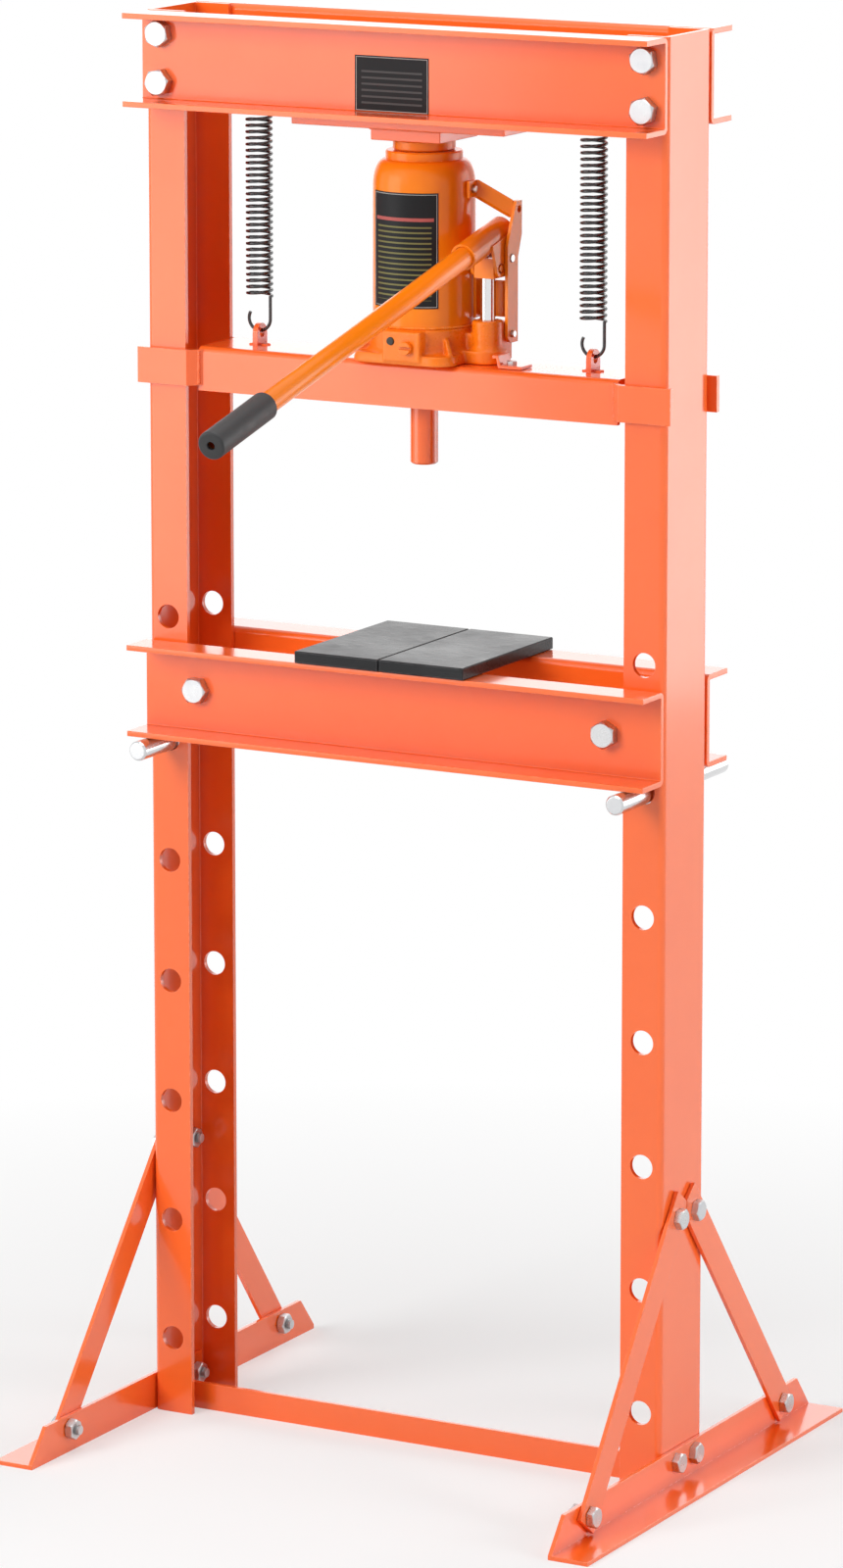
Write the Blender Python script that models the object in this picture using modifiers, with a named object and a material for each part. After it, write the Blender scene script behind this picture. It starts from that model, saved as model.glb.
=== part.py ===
# Hydraulic shop press with a bottle jack, in metres, +Z up.
# The origin is on the floor midway between the uprights: +X is to the right of someone facing the
# press, and the front is at -Y, where the pump handle points.

import math

import bmesh
import bpy
from mathutils import Matrix, Vector

# Frame
frame_height = 1.300
frame_width = 0.524  # over the outer faces of the uprights
channel_depth = 0.084  # web width of every channel
channel_flange = 0.040
channel_wall = 0.005
channel_bend = 0.006  # outer bend radius
seat_gap = 0.0003  # between faces that rest on each other
hole_clearance = 0.0005  # on the radius, round a bolt or a pin
cut_past = 0.010  # how far a cutter runs past what it cuts

# Holes in the uprights for the bed pins
pin_hole_diameter = 0.022
pin_hole_inset = 0.020  # from the upright's outer face
pin_hole_pitch = 0.113
first_pin_hole_height = 0.071
pin_hole_count = 7
bed_hole_index = 5  # the hole that holds the bed, counted from 0

# Top beams, head plate and head block
large_bolt_diameter = 0.014
large_bolt_flats = 0.022
large_bolt_head = 0.009
large_nut_height = 0.011
large_bolt_tail = 0.005  # of thread past the nut
top_bolt_inset = 0.019
top_bolt_spacing = 0.044
head_plate_length = 0.214
head_plate_overlap = 0.008  # of its edges under each top beam
head_plate_thickness = 0.0095
head_block_length = 0.070
head_block_depth = 0.070
head_block_thickness = 0.0115

# Feet, braces and base crossbar
foot_length = 0.512
foot_width = 0.039
foot_rise = 0.034
foot_wall = 0.004
foot_chamfer = 0.025
brace_width = 0.030
brace_low_end = 0.010  # past its bolt
brace_high_end = 0.020
brace_meeting_gap = 0.0012  # between the two braces' mitred tops
brace_thickness = 0.004
brace_slack = 0.0008  # under a bolt head, for the brace's lean
small_bolt_diameter = 0.010
small_bolt_flats = 0.017
small_bolt_head = 0.0065
small_nut_height = 0.008
small_bolt_tail = 0.004
foot_bolt_height = 0.022
foot_bolt_half_pitch = 0.017
brace_foot_reach = 0.192
brace_top_height = 0.247
crossbar_height = 0.025
crossbar_depth = 0.030
crossbar_wall = 0.004
crossbar_front = -0.020
crossbar_tab_depth = 0.056
crossbar_tab_height = 0.040
crossbar_notch_length = 0.017  # clears the foot bolts' nuts
crossbar_notch_height = 0.009

# Bed
bed_clearance = 0.0006  # between the bed beams and the uprights
bed_bolt_inset = 0.054  # from the upright's outer face
bed_pin_diameter = 0.018
bed_pin_front = -0.098
bed_pin_rear = 0.110
bed_pin_chamfer = 0.0015
spacer_diameter = 0.022
arbor_plate_width = 0.085
arbor_plate_depth = 0.171
arbor_plate_thickness = 0.011
arbor_plate_seam = 0.001
arbor_plate_edge = 0.001

# Moving beam with its guide straps and spring ears
beam_end_gap = 0.010  # from the uprights' flanges
beam_depth = 0.073
beam_height = 0.040
beam_wall = 0.005
beam_drop = 0.218  # of its top below the top beams
strap_height = 0.035
strap_thickness = 0.005
strap_past_upright = 0.007
strap_outer_bend = 0.003  # in from the upright's flange
strap_inner_bend = 0.008  # in from the beam's end
strap_tail = 0.040
strap_clearance = 0.0008
strap_weld_overlap = 0.0008
ear_inset = 0.043  # from the beam's end
ear_thickness = 0.005
ear_width = 0.018
ear_hole_height = 0.011
ear_hole_diameter = 0.008
press_rod_diameter = 0.025
press_rod_length = 0.0895
press_rod_edge = 0.001

# Return springs and the bars they hang from
spring_diameter = 0.025
spring_wire = 0.003
spring_pitch = 0.0056
spring_rise = 0.044  # of its coil above the moving beam
spring_turns = 35
spring_points_per_turn = 6
hanger_diameter = 0.010
hanger_drop = 0.034  # below the frame's top

# Jack: base and tank
tank_diameter = 0.0916
base_length = tank_diameter + 0.0064
base_depth = tank_diameter + 0.0084
base_corner = 0.018
base_flange = 0.009
base_height = 0.031
base_boss_diameter = tank_diameter + 0.0054
tank_straight_height = 0.123
tank_shoulder_height = 0.024
shoulder_diameter = tank_diameter - 0.0206
collar_diameter = shoulder_diameter - 0.002
collar_height = 0.008
ram_diameter = 0.032
ram_clearance = 0.0004
saddle_diameter = 0.056
saddle_height = 0.009
tank_floor = 0.016  # thickness of the tank's bottom, under the ram

# Jack: pump, yoke and handle. The pump stands beside the tank, at +X, and rises are above the jack's foot.
pump_gap = 0.0042  # between the tank and the pump's barrel
plunger_diameter = 0.014
pump_barrel_diameter = plunger_diameter + 0.014
pump_barrel_rise = 0.038
pump_foot_width = 0.034
pump_foot_height = 0.0117
pump_bore_floor = 0.006
plunger_foot = 0.011
plunger_pin_rise = 0.0847
plunger_pin_diameter = 0.006
plunger_head_height = 0.018
plunger_head_depth = 0.015
fulcrum_y = 0.0125
fulcrum_rise = 0.0927
fulcrum_pin_diameter = 0.007
fulcrum_pin_inner_end = 0.0006  # past the yoke's plates
fulcrum_pin_outer_end = 0.0012
cheek_thickness = 0.003
cheek_reach = 0.0135  # half the width over the socket's two cheeks
cheek_gap = 0.0006
cheek_rim = 0.008  # from a pin's centre to the cheek's edge
slot_travel = 0.0040
slot_shift = 0.0005
slot_height = 0.0084
rod_diameter = 0.019
rod_clearance = 0.0003
socket_wall = 0.0022
socket_front_y = -0.046
socket_rear_y = 0.025
socket_back_wall = 0.008
handle_drop = math.radians(13.7)
handle_seat = 0.0085  # of the socket's underside above the fulcrum
rod_front_y = -0.474
rod_rear_y = 0.014
grip_wall = 0.0027
grip_length = 0.092
grip_overhang = 0.008
yoke_thickness = 0.003
yoke_gap = 0.001
yoke_front_y = 0.005
yoke_rear_y = 0.0238
yoke_web_low = 0.0385
yoke_web_high = 0.071
yoke_inner_high = 0.102
yoke_front_corner_rise = 0.012  # above the fulcrum, where the plate starts to slope back
yoke_rear_corner_rise = 0.020
yoke_web_inset = 0.0001  # keeps the web's back off the plates' rear edges
yoke_bolt_rise = 0.0253
yoke_bolt_diameter = 0.006
yoke_bolt_inset = 0.001  # of its inner end in the lug
yoke_lug_front_y = 0.004
yoke_lug_rise = 0.036
stay_height = 0.015
stay_thickness = 0.003
stay_front_rise = 0.1537
stay_over_socket = 0.0098
stay_front_y = -0.007
stay_bend_front_y = 0.007
stay_bend_rear_y = 0.021
stay_rear_y = 0.031
stay_bolt_y = 0.026
tank_ear_diameter = 0.014
tank_ear_root = 0.004  # how deep the ear is sunk in the tank's wall
ear_bolt_root = 0.0025
bolt_end = 0.003  # a small bolt's end past what it holds
valve_x = 0.011
valve_rise = 0.016
valve_diameter = 0.012
valve_head = 0.005
valve_spindle_diameter = 0.006
valve_spindle_length = 0.016
valve_boss_stand_out = 0.003
valve_boss_left_x = -0.013
valve_boss_right_x = 0.024
valve_boss_top = 0.030
valve_slot_width = 0.0024
valve_slot_depth = 0.00225
plug_x = -0.005
plug_rise = 0.021
plug_diameter = 0.007
plug_length = 0.010
plug_stand_out = 0.0015
bridge_start = 0.0158  # in from the tank's side: the rib between the tank's seat and the pump's barrel
bridge_width = 0.020
bore_clearance = 0.0003

# Where the main faces lie
upright_x = frame_width / 2
pin_hole_x = upright_x - pin_hole_inset
bed_bolt_x = upright_x - bed_bolt_inset
beam_end_x = upright_x - channel_flange - beam_end_gap
beam_top_height = frame_height - channel_depth - beam_drop
ear_x = beam_end_x - ear_inset
spring_bottom_height = beam_top_height + spring_rise
hanger_height = frame_height - hanger_drop
beam_face_y = channel_depth / 2 + seat_gap
bed_face_y = channel_depth / 2 + bed_clearance
top_beam_z = frame_height - channel_depth / 2
top_beam_low = frame_height - channel_depth
foot_face_x = upright_x + seat_gap
brace_low_x = foot_face_x + foot_wall + seat_gap
pin_hole_z = first_pin_hole_height + bed_hole_index * pin_hole_pitch
bed_pin_z = pin_hole_z - (pin_hole_diameter - bed_pin_diameter) / 2 + seat_gap
bed_low = bed_pin_z + bed_pin_diameter / 2 + seat_gap
bed_z = bed_low + channel_depth / 2
bed_top = bed_low + channel_depth
jack_foot = beam_top_height + seat_gap
tank_foot = jack_foot + base_height + seat_gap
tank_shoulder = tank_foot + tank_straight_height
tank_top = tank_shoulder + tank_shoulder_height + collar_height
head_plate_depth = channel_depth + 2 * head_plate_overlap
head_plate_top = top_beam_low - seat_gap
head_block_top = head_plate_top - head_plate_thickness - seat_gap
ram_top = head_block_top - head_block_thickness - seat_gap
pump_x = (tank_diameter + pump_barrel_diameter) / 2 + pump_gap
socket_diameter = rod_diameter + 2 * (rod_clearance + socket_wall)
grip_diameter = rod_diameter + 2 * (rod_clearance + grip_wall)
handle_offset = socket_diameter / 2 + handle_seat  # of the handle's axis above the fulcrum
stay_rear_rise = fulcrum_rise + handle_offset + socket_diameter / 2 + stay_over_socket
yoke_top_rise = stay_rear_rise + stay_height / 2
valve_boss_front_y = -base_depth / 2 - valve_boss_stand_out
fulcrum_z = jack_foot + fulcrum_rise
plunger_pin_z = jack_foot + plunger_pin_rise
yoke_outer_x = pump_x + cheek_reach + yoke_gap
yoke_inner_x = pump_x - cheek_reach - yoke_gap - yoke_thickness
yoke_bolt_y = (yoke_front_y + yoke_rear_y - yoke_thickness) / 2
yoke_bolt_z = jack_foot + yoke_bolt_rise
stay_z = jack_foot + stay_front_rise
yoke_bolt_hole = yoke_bolt_diameter + 2 * hole_clearance

model_name = "hydraulic_shop_press"
turned = {
    "x": (math.pi / 2, 0, math.pi / 2),  # an outline drawn in Y and Z
    "y": (math.pi / 2, 0, 0),  # an outline drawn in X and Z
    "z": (0, 0, 0),  # an outline drawn in X and Y
}


def clear_scene():
    for thing in list(bpy.data.objects):
        bpy.data.objects.remove(thing, do_unlink=True)
    for group in list(bpy.data.collections):
        bpy.data.collections.remove(group)


def new_collection(name, parent):
    group = bpy.data.collections.new(name)
    parent.children.link(group)
    return group


def finish(thing, colour, roughness, metallic=0.0):
    """Gives a piece its own material and smooth shading on its round faces."""
    material = bpy.data.materials.new(thing.name + "_finish")
    material.use_nodes = True
    shader = material.node_tree.nodes["Principled BSDF"]
    shader.inputs["Base Color"].default_value = (*colour, 1)
    shader.inputs["Roughness"].default_value = roughness
    shader.inputs["Metallic"].default_value = metallic
    thing.data.materials.clear()
    thing.data.materials.append(material)
    if thing.type == "MESH":
        thing.data.shade_smooth()
        thing.data.set_sharp_from_angle(angle=math.radians(32))
    return thing


def painted(thing):
    return finish(thing, (0.90, 0.13, 0.03), 0.35)


def jack_painted(thing):
    return finish(thing, (0.93, 0.22, 0.01), 0.35)


def plated(thing):
    return finish(thing, (0.72, 0.73, 0.74), 0.35, 1.0)


def polished(thing):
    return finish(thing, (0.78, 0.78, 0.78), 0.15, 1.0)


def add_mesh(name, mesh, group=None):
    thing = bpy.data.objects.new(name, mesh)
    (group or parts).objects.link(thing)
    return thing


def as_mesh(thing):
    """Turns a curve into a mesh object at the same place, with its caps welded on."""
    graph = bpy.context.evaluated_depsgraph_get()
    mesh = bpy.data.meshes.new_from_object(thing.evaluated_get(graph))
    shape = bmesh.new()
    shape.from_mesh(mesh)
    bmesh.ops.remove_doubles(shape, verts=shape.verts, dist=0.000001)
    bmesh.ops.recalc_face_normals(shape, faces=shape.faces)
    shape.to_mesh(mesh)
    shape.free()
    name, place, group = thing.name, thing.matrix_world.copy(), thing.users_collection[0]
    bpy.data.objects.remove(thing, do_unlink=True)
    solid = add_mesh(name, mesh, group)
    solid.matrix_world = place
    return solid


def extruded(name, outline, low, high, axis, group=None):
    """A flat outline given thickness from low to high along an axis."""
    curve = bpy.data.curves.new(name, "CURVE")
    curve.dimensions = "2D"
    curve.fill_mode = "BOTH"
    curve.extrude = (high - low) / 2
    line = curve.splines.new("POLY")
    line.points.add(len(outline) - 1)
    for point, (across, up) in zip(line.points, outline):
        point.co = (across, up, 0, 1)
    line.use_cyclic_u = True
    thing = bpy.data.objects.new(name, curve)
    (group or parts).objects.link(thing)
    thing.rotation_euler = turned[axis]
    thing.location["xyz".index(axis)] = (low + high) / 2
    bpy.context.view_layer.update()
    return as_mesh(thing)


def block(name, low, high, group=None):
    """A box between two corners."""
    low, high = Vector(low), Vector(high)
    shape = bmesh.new()
    bmesh.ops.create_cube(shape, size=1, matrix=Matrix.Diagonal((*(high - low), 1)))
    mesh = bpy.data.meshes.new(name)
    shape.to_mesh(mesh)
    shape.free()
    thing = add_mesh(name, mesh, group)
    thing.location = (low + high) / 2
    return thing


def rods(name, runs, group=None):
    """Cylinders that don't touch, as one mesh: each run is (start, end, diameter, sides)."""
    shape = bmesh.new()
    for start, end, diameter, sides in runs:
        start, end = Vector(start), Vector(end)
        heading = (end - start).to_track_quat("Z", "X").to_matrix().to_4x4()
        place = Matrix.Translation((start + end) / 2) @ heading
        bmesh.ops.create_cone(
            shape, cap_ends=True, segments=sides, radius1=diameter / 2, radius2=diameter / 2,
            depth=(end - start).length, matrix=place,
        )
    mesh = bpy.data.meshes.new(name)
    shape.to_mesh(mesh)
    shape.free()
    return add_mesh(name, mesh, group)


def turned_solid(name, profile, place, sides=32, group=None):
    """A profile of (radius, height) points, from top to bottom, turned about Z."""
    mesh = bpy.data.meshes.new(name)
    points = [(radius, 0, height) for radius, height in profile]
    mesh.from_pydata(points, [(i, i + 1) for i in range(len(points) - 1)], [])
    thing = add_mesh(name, mesh, group)
    thing.location = place
    screw = thing.modifiers.new("turn", "SCREW")
    screw.steps = screw.render_steps = sides
    screw.use_merge_vertices = True
    screw.merge_threshold = 0.00001
    return thing


def combine(thing, other, operation):
    """Cuts the other shape from a piece, or joins it on, and keeps it as a helper."""
    other.hide_render = True
    other.display_type = "WIRE"
    modifier = thing.modifiers.new(other.name, "BOOLEAN")
    modifier.operation = operation
    modifier.object = other
    modifier.solver = "EXACT"


def applied(thing):
    """The piece with its modifiers worked into its mesh."""
    bpy.context.view_layer.update()
    graph = bpy.context.evaluated_depsgraph_get()
    mesh = bpy.data.meshes.new_from_object(thing.evaluated_get(graph))
    thing.modifiers.clear()
    thing.data = mesh
    return thing


def arc(centre, radius, first, last, steps):
    """Points of an arc, with its angles in degrees."""
    angles = [math.radians(first + (last - first) * i / steps) for i in range(steps + 1)]
    return [(centre[0] + radius * math.cos(a), centre[1] + radius * math.sin(a)) for a in angles]


def channel_outline(depth, flange, wall, bend):
    """A channel's section: the web lies along the first axis and the flanges rise along the second."""
    half = depth / 2
    return (
        arc((half - bend, bend), bend, -90, 0, 3)
        + [(half, flange), (half - wall, flange), (half - wall, wall)]
        + [(-half + wall, wall), (-half + wall, flange), (-half, flange)]
        + arc((-half + bend, bend), bend, 180, 270, 3)
    )


def rounded_bar(start, end, width, steps=6):
    """The outline of a flat link with round ends, centred on two points."""
    heading = math.degrees(math.atan2(end[1] - start[1], end[0] - start[0]))
    return arc(end, width / 2, heading - 90, heading + 90, steps) + arc(
        start, width / 2, heading + 90, heading + 270, steps
    )


def strip_outline(path, thickness):
    """The outline of a bent strip whose middle follows a path."""
    sides = ([], [])
    for i, point in enumerate(path):
        before = Vector(path[max(i - 1, 0)])
        after = Vector(path[min(i + 1, len(path) - 1)])
        here = Vector(point)
        steps = [step.normalized() for step in (here - before, after - here) if step.length > 0]
        normals = [Vector((-step.y, step.x)) for step in steps]
        mitre = sum(normals, Vector((0, 0))).normalized()
        reach = thickness / 2 / mitre.dot(normals[0])
        sides[0].append(here + mitre * reach)
        sides[1].append(here - mitre * reach)
    return [tuple(p) for p in sides[0]] + [tuple(p) for p in reversed(sides[1])]


def bolt_mesh(name, diameter, flats, head, grip, nut, tail):
    """A hex bolt with its nut. Its head stands above z = 0 and its shank hangs through the grip."""
    corners = flats / math.cos(math.pi / 6)
    bolt = rods(name, [((0, 0, 0), (0, 0, head), corners, 6)], helpers)
    shank = rods(name + "_shank", [((0, 0, head / 2), (0, 0, -grip - nut - tail), diameter, 16)], helpers)
    collar = rods(name + "_nut", [((0, 0, -grip), (0, 0, -grip - nut), corners, 6)], helpers)
    combine(bolt, shank, "UNION")
    combine(bolt, collar, "UNION")
    mesh = applied(bolt).data
    for thing in (bolt, shank, collar):
        bpy.data.objects.remove(thing, do_unlink=True)
    mesh.shade_smooth()
    mesh.set_sharp_from_angle(angle=math.radians(32))
    return mesh


def place_bolt(name, mesh, head_at, outwards):
    bolt = add_mesh(name, mesh.copy())
    bolt.location = head_at
    bolt.rotation_euler = Vector(outwards).to_track_quat("Z", "X").to_euler()
    return plated(bolt)


def hole_size(diameter):
    return diameter + 2 * hole_clearance


def bored(diameter):
    """The size of a bore that its own rod runs in or is screwed into."""
    return diameter + 2 * bore_clearance


def sides_of_press():
    return (("left", -1), ("right", 1))


def ends_of_press():
    return (("front", -1), ("rear", 1))


def make_uprights():
    outline = channel_outline(channel_depth, channel_flange, channel_wall, channel_bend)
    through = channel_depth
    for side, sign in sides_of_press():
        section = [(sign * (upright_x - rise), across) for across, rise in outline]
        upright = extruded("upright_" + side, section, 0, frame_height, "z")
        runs = []
        for i in range(pin_hole_count):
            x, z = sign * pin_hole_x, first_pin_hole_height + i * pin_hole_pitch
            runs.append(((x, -through, z), (x, through, z), pin_hole_diameter, 16))
        for z in top_bolt_heights():
            x = sign * (upright_x - top_bolt_inset)
            runs.append(((x, -through, z), (x, through, z), hole_size(large_bolt_diameter), 16))
        inside, outside = sign * (upright_x - channel_flange), sign * (upright_x + channel_flange)
        for y, z in small_bolt_places():
            runs.append(((inside, y, z), (outside, y, z), hole_size(small_bolt_diameter), 16))
        combine(upright, rods("holes_upright_" + side, runs, cutters), "DIFFERENCE")
        painted(upright)


def top_bolt_heights():
    return (top_beam_z - top_bolt_spacing / 2, top_beam_z + top_bolt_spacing / 2)


def small_bolt_places():
    """(y, z) of the bolts through an upright's web: two at the foot and two at the braces' tops."""
    return [(s * foot_bolt_half_pitch, z) for z in (foot_bolt_height, brace_top_height) for s in (-1, 1)]


def make_cross_channels(kind, face_y, middle_z, bolt_places):
    """The front and rear channels of the top or of the bed, their flanges pointing away from the press."""
    outline = channel_outline(channel_depth, channel_flange, channel_wall, channel_bend)
    for end, sign in ends_of_press():
        section = [(sign * (face_y + rise), middle_z + across) for across, rise in outline]
        beam = extruded(f"{kind}_beam_{end}", section, -upright_x, upright_x, "x")
        runs = [
            ((x, -channel_depth * 2, z), (x, channel_depth * 2, z), hole_size(large_bolt_diameter), 16)
            for x, z in bolt_places
        ]
        combine(beam, rods(f"holes_{kind}_beam_{end}", runs, cutters), "DIFFERENCE")
        painted(beam)


def make_top():
    bolt_x = upright_x - top_bolt_inset
    places = [(sign * bolt_x, z) for _, sign in sides_of_press() for z in top_bolt_heights()]
    make_cross_channels("top", beam_face_y, top_beam_z, places)
    head_y = beam_face_y + channel_wall + seat_gap
    sizes = (large_bolt_diameter, large_bolt_flats, large_bolt_head)
    mesh = bolt_mesh("top_bolt", *sizes, 2 * head_y, large_nut_height, large_bolt_tail)
    for side, sign in sides_of_press():
        for level, z in zip(("lower", "upper"), top_bolt_heights()):
            place_bolt(f"top_bolt_{side}_{level}", mesh, (sign * bolt_x, -head_y, z), (0, -1, 0))
        x, reach = sign * ear_x, beam_face_y - seat_gap
        run = ((x, -reach, hanger_height), (x, reach, hanger_height), hanger_diameter, 16)
        painted(rods("spring_hanger_" + side, [run]))
    painted(
        block(
            "head_plate",
            (-head_plate_length / 2, -head_plate_depth / 2, head_plate_top - head_plate_thickness),
            (head_plate_length / 2, head_plate_depth / 2, head_plate_top),
        )
    )
    painted(
        block(
            "head_block",
            (-head_block_length / 2, -head_block_depth / 2, head_block_top - head_block_thickness),
            (head_block_length / 2, head_block_depth / 2, head_block_top),
        )
    )


def make_feet():
    half = foot_length / 2
    face = upright_x + seat_gap
    slant = foot_rise - foot_wall
    for side, sign in sides_of_press():
        section = [
            (sign * face, 0),
            (sign * (face + foot_width), 0),
            (sign * (face + foot_width), foot_wall),
            (sign * (face + foot_wall), foot_wall),
            (sign * (face + foot_wall), foot_rise),
            (sign * face, foot_rise),
        ]
        foot = extruded("foot_" + side, section, -half, half, "y")
        wide = foot_width * 2
        for end, way in ends_of_press():
            corner = [
                (way * half, foot_wall),
                (way * (half + wide), foot_wall),
                (way * (half + wide), foot_rise + wide),
                (way * (half - foot_chamfer * (1 + wide / slant)), foot_rise + wide),
            ]
            low, high = sign * upright_x - wide, sign * upright_x + wide
            cut = extruded(f"slant_foot_{side}_{end}", corner, low, high, "x", cutters)
            combine(foot, cut, "DIFFERENCE")
        places = [(way * foot_bolt_half_pitch, foot_bolt_height) for way in (-1, 1)]
        places += [(way * brace_foot_reach, foot_bolt_height) for way in (-1, 1)]
        near, far = sign * (upright_x - wide), sign * (upright_x + wide)
        runs = [((near, y, z), (far, y, z), hole_size(small_bolt_diameter), 16) for y, z in places]
        combine(foot, rods("holes_foot_" + side, runs, cutters), "DIFFERENCE")
        painted(foot)


def make_braces():
    """Each brace lies on its foot's outer face and on the upright's web above, so it leans in a little."""
    highest = brace_top_height + brace_high_end + brace_width / 2
    lean = math.atan2(brace_low_x - foot_face_x, highest - foot_rise)
    for side, sign in sides_of_press():
        for end, way in ends_of_press():
            low = Vector((way * brace_foot_reach, foot_bolt_height))
            high = Vector((way * foot_bolt_half_pitch, brace_top_height))
            along = (high - low).normalized()
            across = Vector((-along.y, along.x)) * brace_width / 2
            start, stop = low - along * brace_low_end, high + along * brace_high_end
            outline = [tuple(p) for p in (start - across, stop - across, stop + across, start + across)]
            faces = sorted((sign * brace_low_x, sign * (brace_low_x + brace_thickness)))
            brace = extruded(f"brace_{side}_{end}", outline, faces[0], faces[1], "x")
            turn_about(brace, (sign * brace_low_x, 0, foot_rise), "Y", -sign * lean)
            near, far = sign * upright_x / 2, sign * upright_x * 2
            runs = [((near, y, z), (far, y, z), hole_size(small_bolt_diameter), 16) for y, z in (low, high)]
            combine(brace, rods(f"holes_brace_{side}_{end}", runs, cutters), "DIFFERENCE")
            near, far = sorted((way * brace_meeting_gap / 2, -way * brace_width))
            high_corner = (2 * upright_x, far, 2 * brace_top_height)
            mitre = block(f"mitre_{side}_{end}", (-2 * upright_x, near, 0), high_corner, cutters)
            combine(brace, mitre, "DIFFERENCE")
            painted(brace)


def make_small_bolts():
    """The foot bolts also hold the crossbar's tabs, inside the uprights' webs."""
    web_grip = channel_wall + 2 * seat_gap
    tab_grip = web_grip + crossbar_wall + seat_gap
    foot_grip = foot_wall + seat_gap
    brace_grip = brace_thickness + brace_slack
    sizes = (small_bolt_diameter, small_bolt_flats, small_bolt_head)
    nut = (small_nut_height, small_bolt_tail)
    through_foot = bolt_mesh("foot_bolt", *sizes, tab_grip + foot_grip, *nut)
    through_brace_top = bolt_mesh("brace_top_bolt", *sizes, web_grip + brace_grip, *nut)
    through_brace_foot = bolt_mesh("brace_foot_bolt", *sizes, foot_grip + brace_grip + seat_gap, *nut)
    foot_x = brace_low_x
    brace_top_x = foot_face_x + brace_thickness + brace_slack
    brace_foot_x = brace_low_x + brace_thickness + brace_slack
    for side, sign in sides_of_press():
        for end, way in ends_of_press():
            place_bolt(
                f"foot_bolt_{side}_{end}", through_foot,
                (sign * foot_x, way * foot_bolt_half_pitch, foot_bolt_height), (sign, 0, 0),
            )
            place_bolt(
                f"brace_top_bolt_{side}_{end}", through_brace_top,
                (sign * brace_top_x, way * foot_bolt_half_pitch, brace_top_height), (sign, 0, 0),
            )
            place_bolt(
                f"brace_foot_bolt_{side}_{end}", through_brace_foot,
                (sign * brace_foot_x, way * brace_foot_reach, foot_bolt_height), (sign, 0, 0),
            )


def make_crossbar():
    """An angle between the uprights with a tab at each end, its underside on the floor."""
    tab_face = upright_x - channel_wall - seat_gap
    reach = tab_face - crossbar_wall / 2
    front, rear = crossbar_front, crossbar_front + crossbar_depth
    section = [
        (front, 0),
        (rear, 0),
        (rear, crossbar_wall),
        (front + crossbar_wall, crossbar_wall),
        (front + crossbar_wall, crossbar_height),
        (front, crossbar_height),
    ]
    bar = extruded("base_crossbar", section, -reach, reach, "x")
    for side, sign in sides_of_press():
        near, far = sorted((sign * tab_face, sign * (tab_face - crossbar_wall - crossbar_notch_length)))
        low, high = (near, 2 * front, crossbar_notch_height), (far, 2 * rear, 2 * crossbar_height)
        notch = block(f"notch_{side}", low, high, cutters)
        combine(bar, notch, "DIFFERENCE")
        near, far = sorted((sign * tab_face, sign * (tab_face - crossbar_wall)))
        half = crossbar_tab_depth / 2
        tab = block(f"tab_{side}", (near, -half, 0), (far, half, crossbar_tab_height), helpers)
        combine(bar, tab, "UNION")
    runs = []
    for _, sign in sides_of_press():
        near, far = sign * (tab_face - crossbar_wall - cut_past), sign * (tab_face + cut_past)
        for _, way in ends_of_press():
            y, z = way * foot_bolt_half_pitch, foot_bolt_height
            runs.append(((near, y, z), (far, y, z), hole_size(small_bolt_diameter), 16))
    combine(bar, rods("holes_crossbar", runs, cutters), "DIFFERENCE")
    painted(bar)


def make_bed():
    bolt_places = [(sign * bed_bolt_x, bed_z) for _, sign in sides_of_press()]
    make_cross_channels("bed", bed_face_y, bed_z, bolt_places)
    head_y = bed_face_y + channel_wall + seat_gap
    reach = bed_face_y - seat_gap
    sizes = (large_bolt_diameter, large_bolt_flats, large_bolt_head)
    mesh = bolt_mesh("bed_bolt", *sizes, 2 * head_y, large_nut_height, large_bolt_tail)
    for side, sign in sides_of_press():
        x = sign * bed_bolt_x
        place_bolt("bed_bolt_" + side, mesh, (x, -head_y, bed_z), (0, -1, 0))
        spacer = rods("bed_spacer_" + side, [((x, -reach, bed_z), (x, reach, bed_z), spacer_diameter, 20)])
        bore = rods(
            "bore_spacer_" + side,
            [((x, -2 * reach, bed_z), (x, 2 * reach, bed_z), hole_size(large_bolt_diameter), 16)],
            cutters,
        )
        combine(spacer, bore, "DIFFERENCE")
        painted(spacer)
        plate_low = bed_top + seat_gap
        near, far = sorted((sign * arbor_plate_seam / 2, sign * (arbor_plate_seam / 2 + arbor_plate_width)))
        plate = block(
            "arbor_plate_" + side,
            (near, -arbor_plate_depth / 2, plate_low),
            (far, arbor_plate_depth / 2, plate_low + arbor_plate_thickness),
        )
        bevel(plate, arbor_plate_edge, 2)
        finish(plate, (0.06, 0.06, 0.065), 0.35, 0.6)
        x = sign * pin_hole_x
        run = ((x, bed_pin_front, bed_pin_z), (x, bed_pin_rear, bed_pin_z), bed_pin_diameter, 24)
        pin = rods("bed_pin_" + side, [run])
        bevel(pin, bed_pin_chamfer, 1)
        polished(pin)


def bevel(thing, width, segments):
    edge = thing.modifiers.new("edge", "BEVEL")
    edge.width = width
    edge.segments = segments
    edge.limit_method = "ANGLE"
    edge.angle_limit = math.radians(40)


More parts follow.
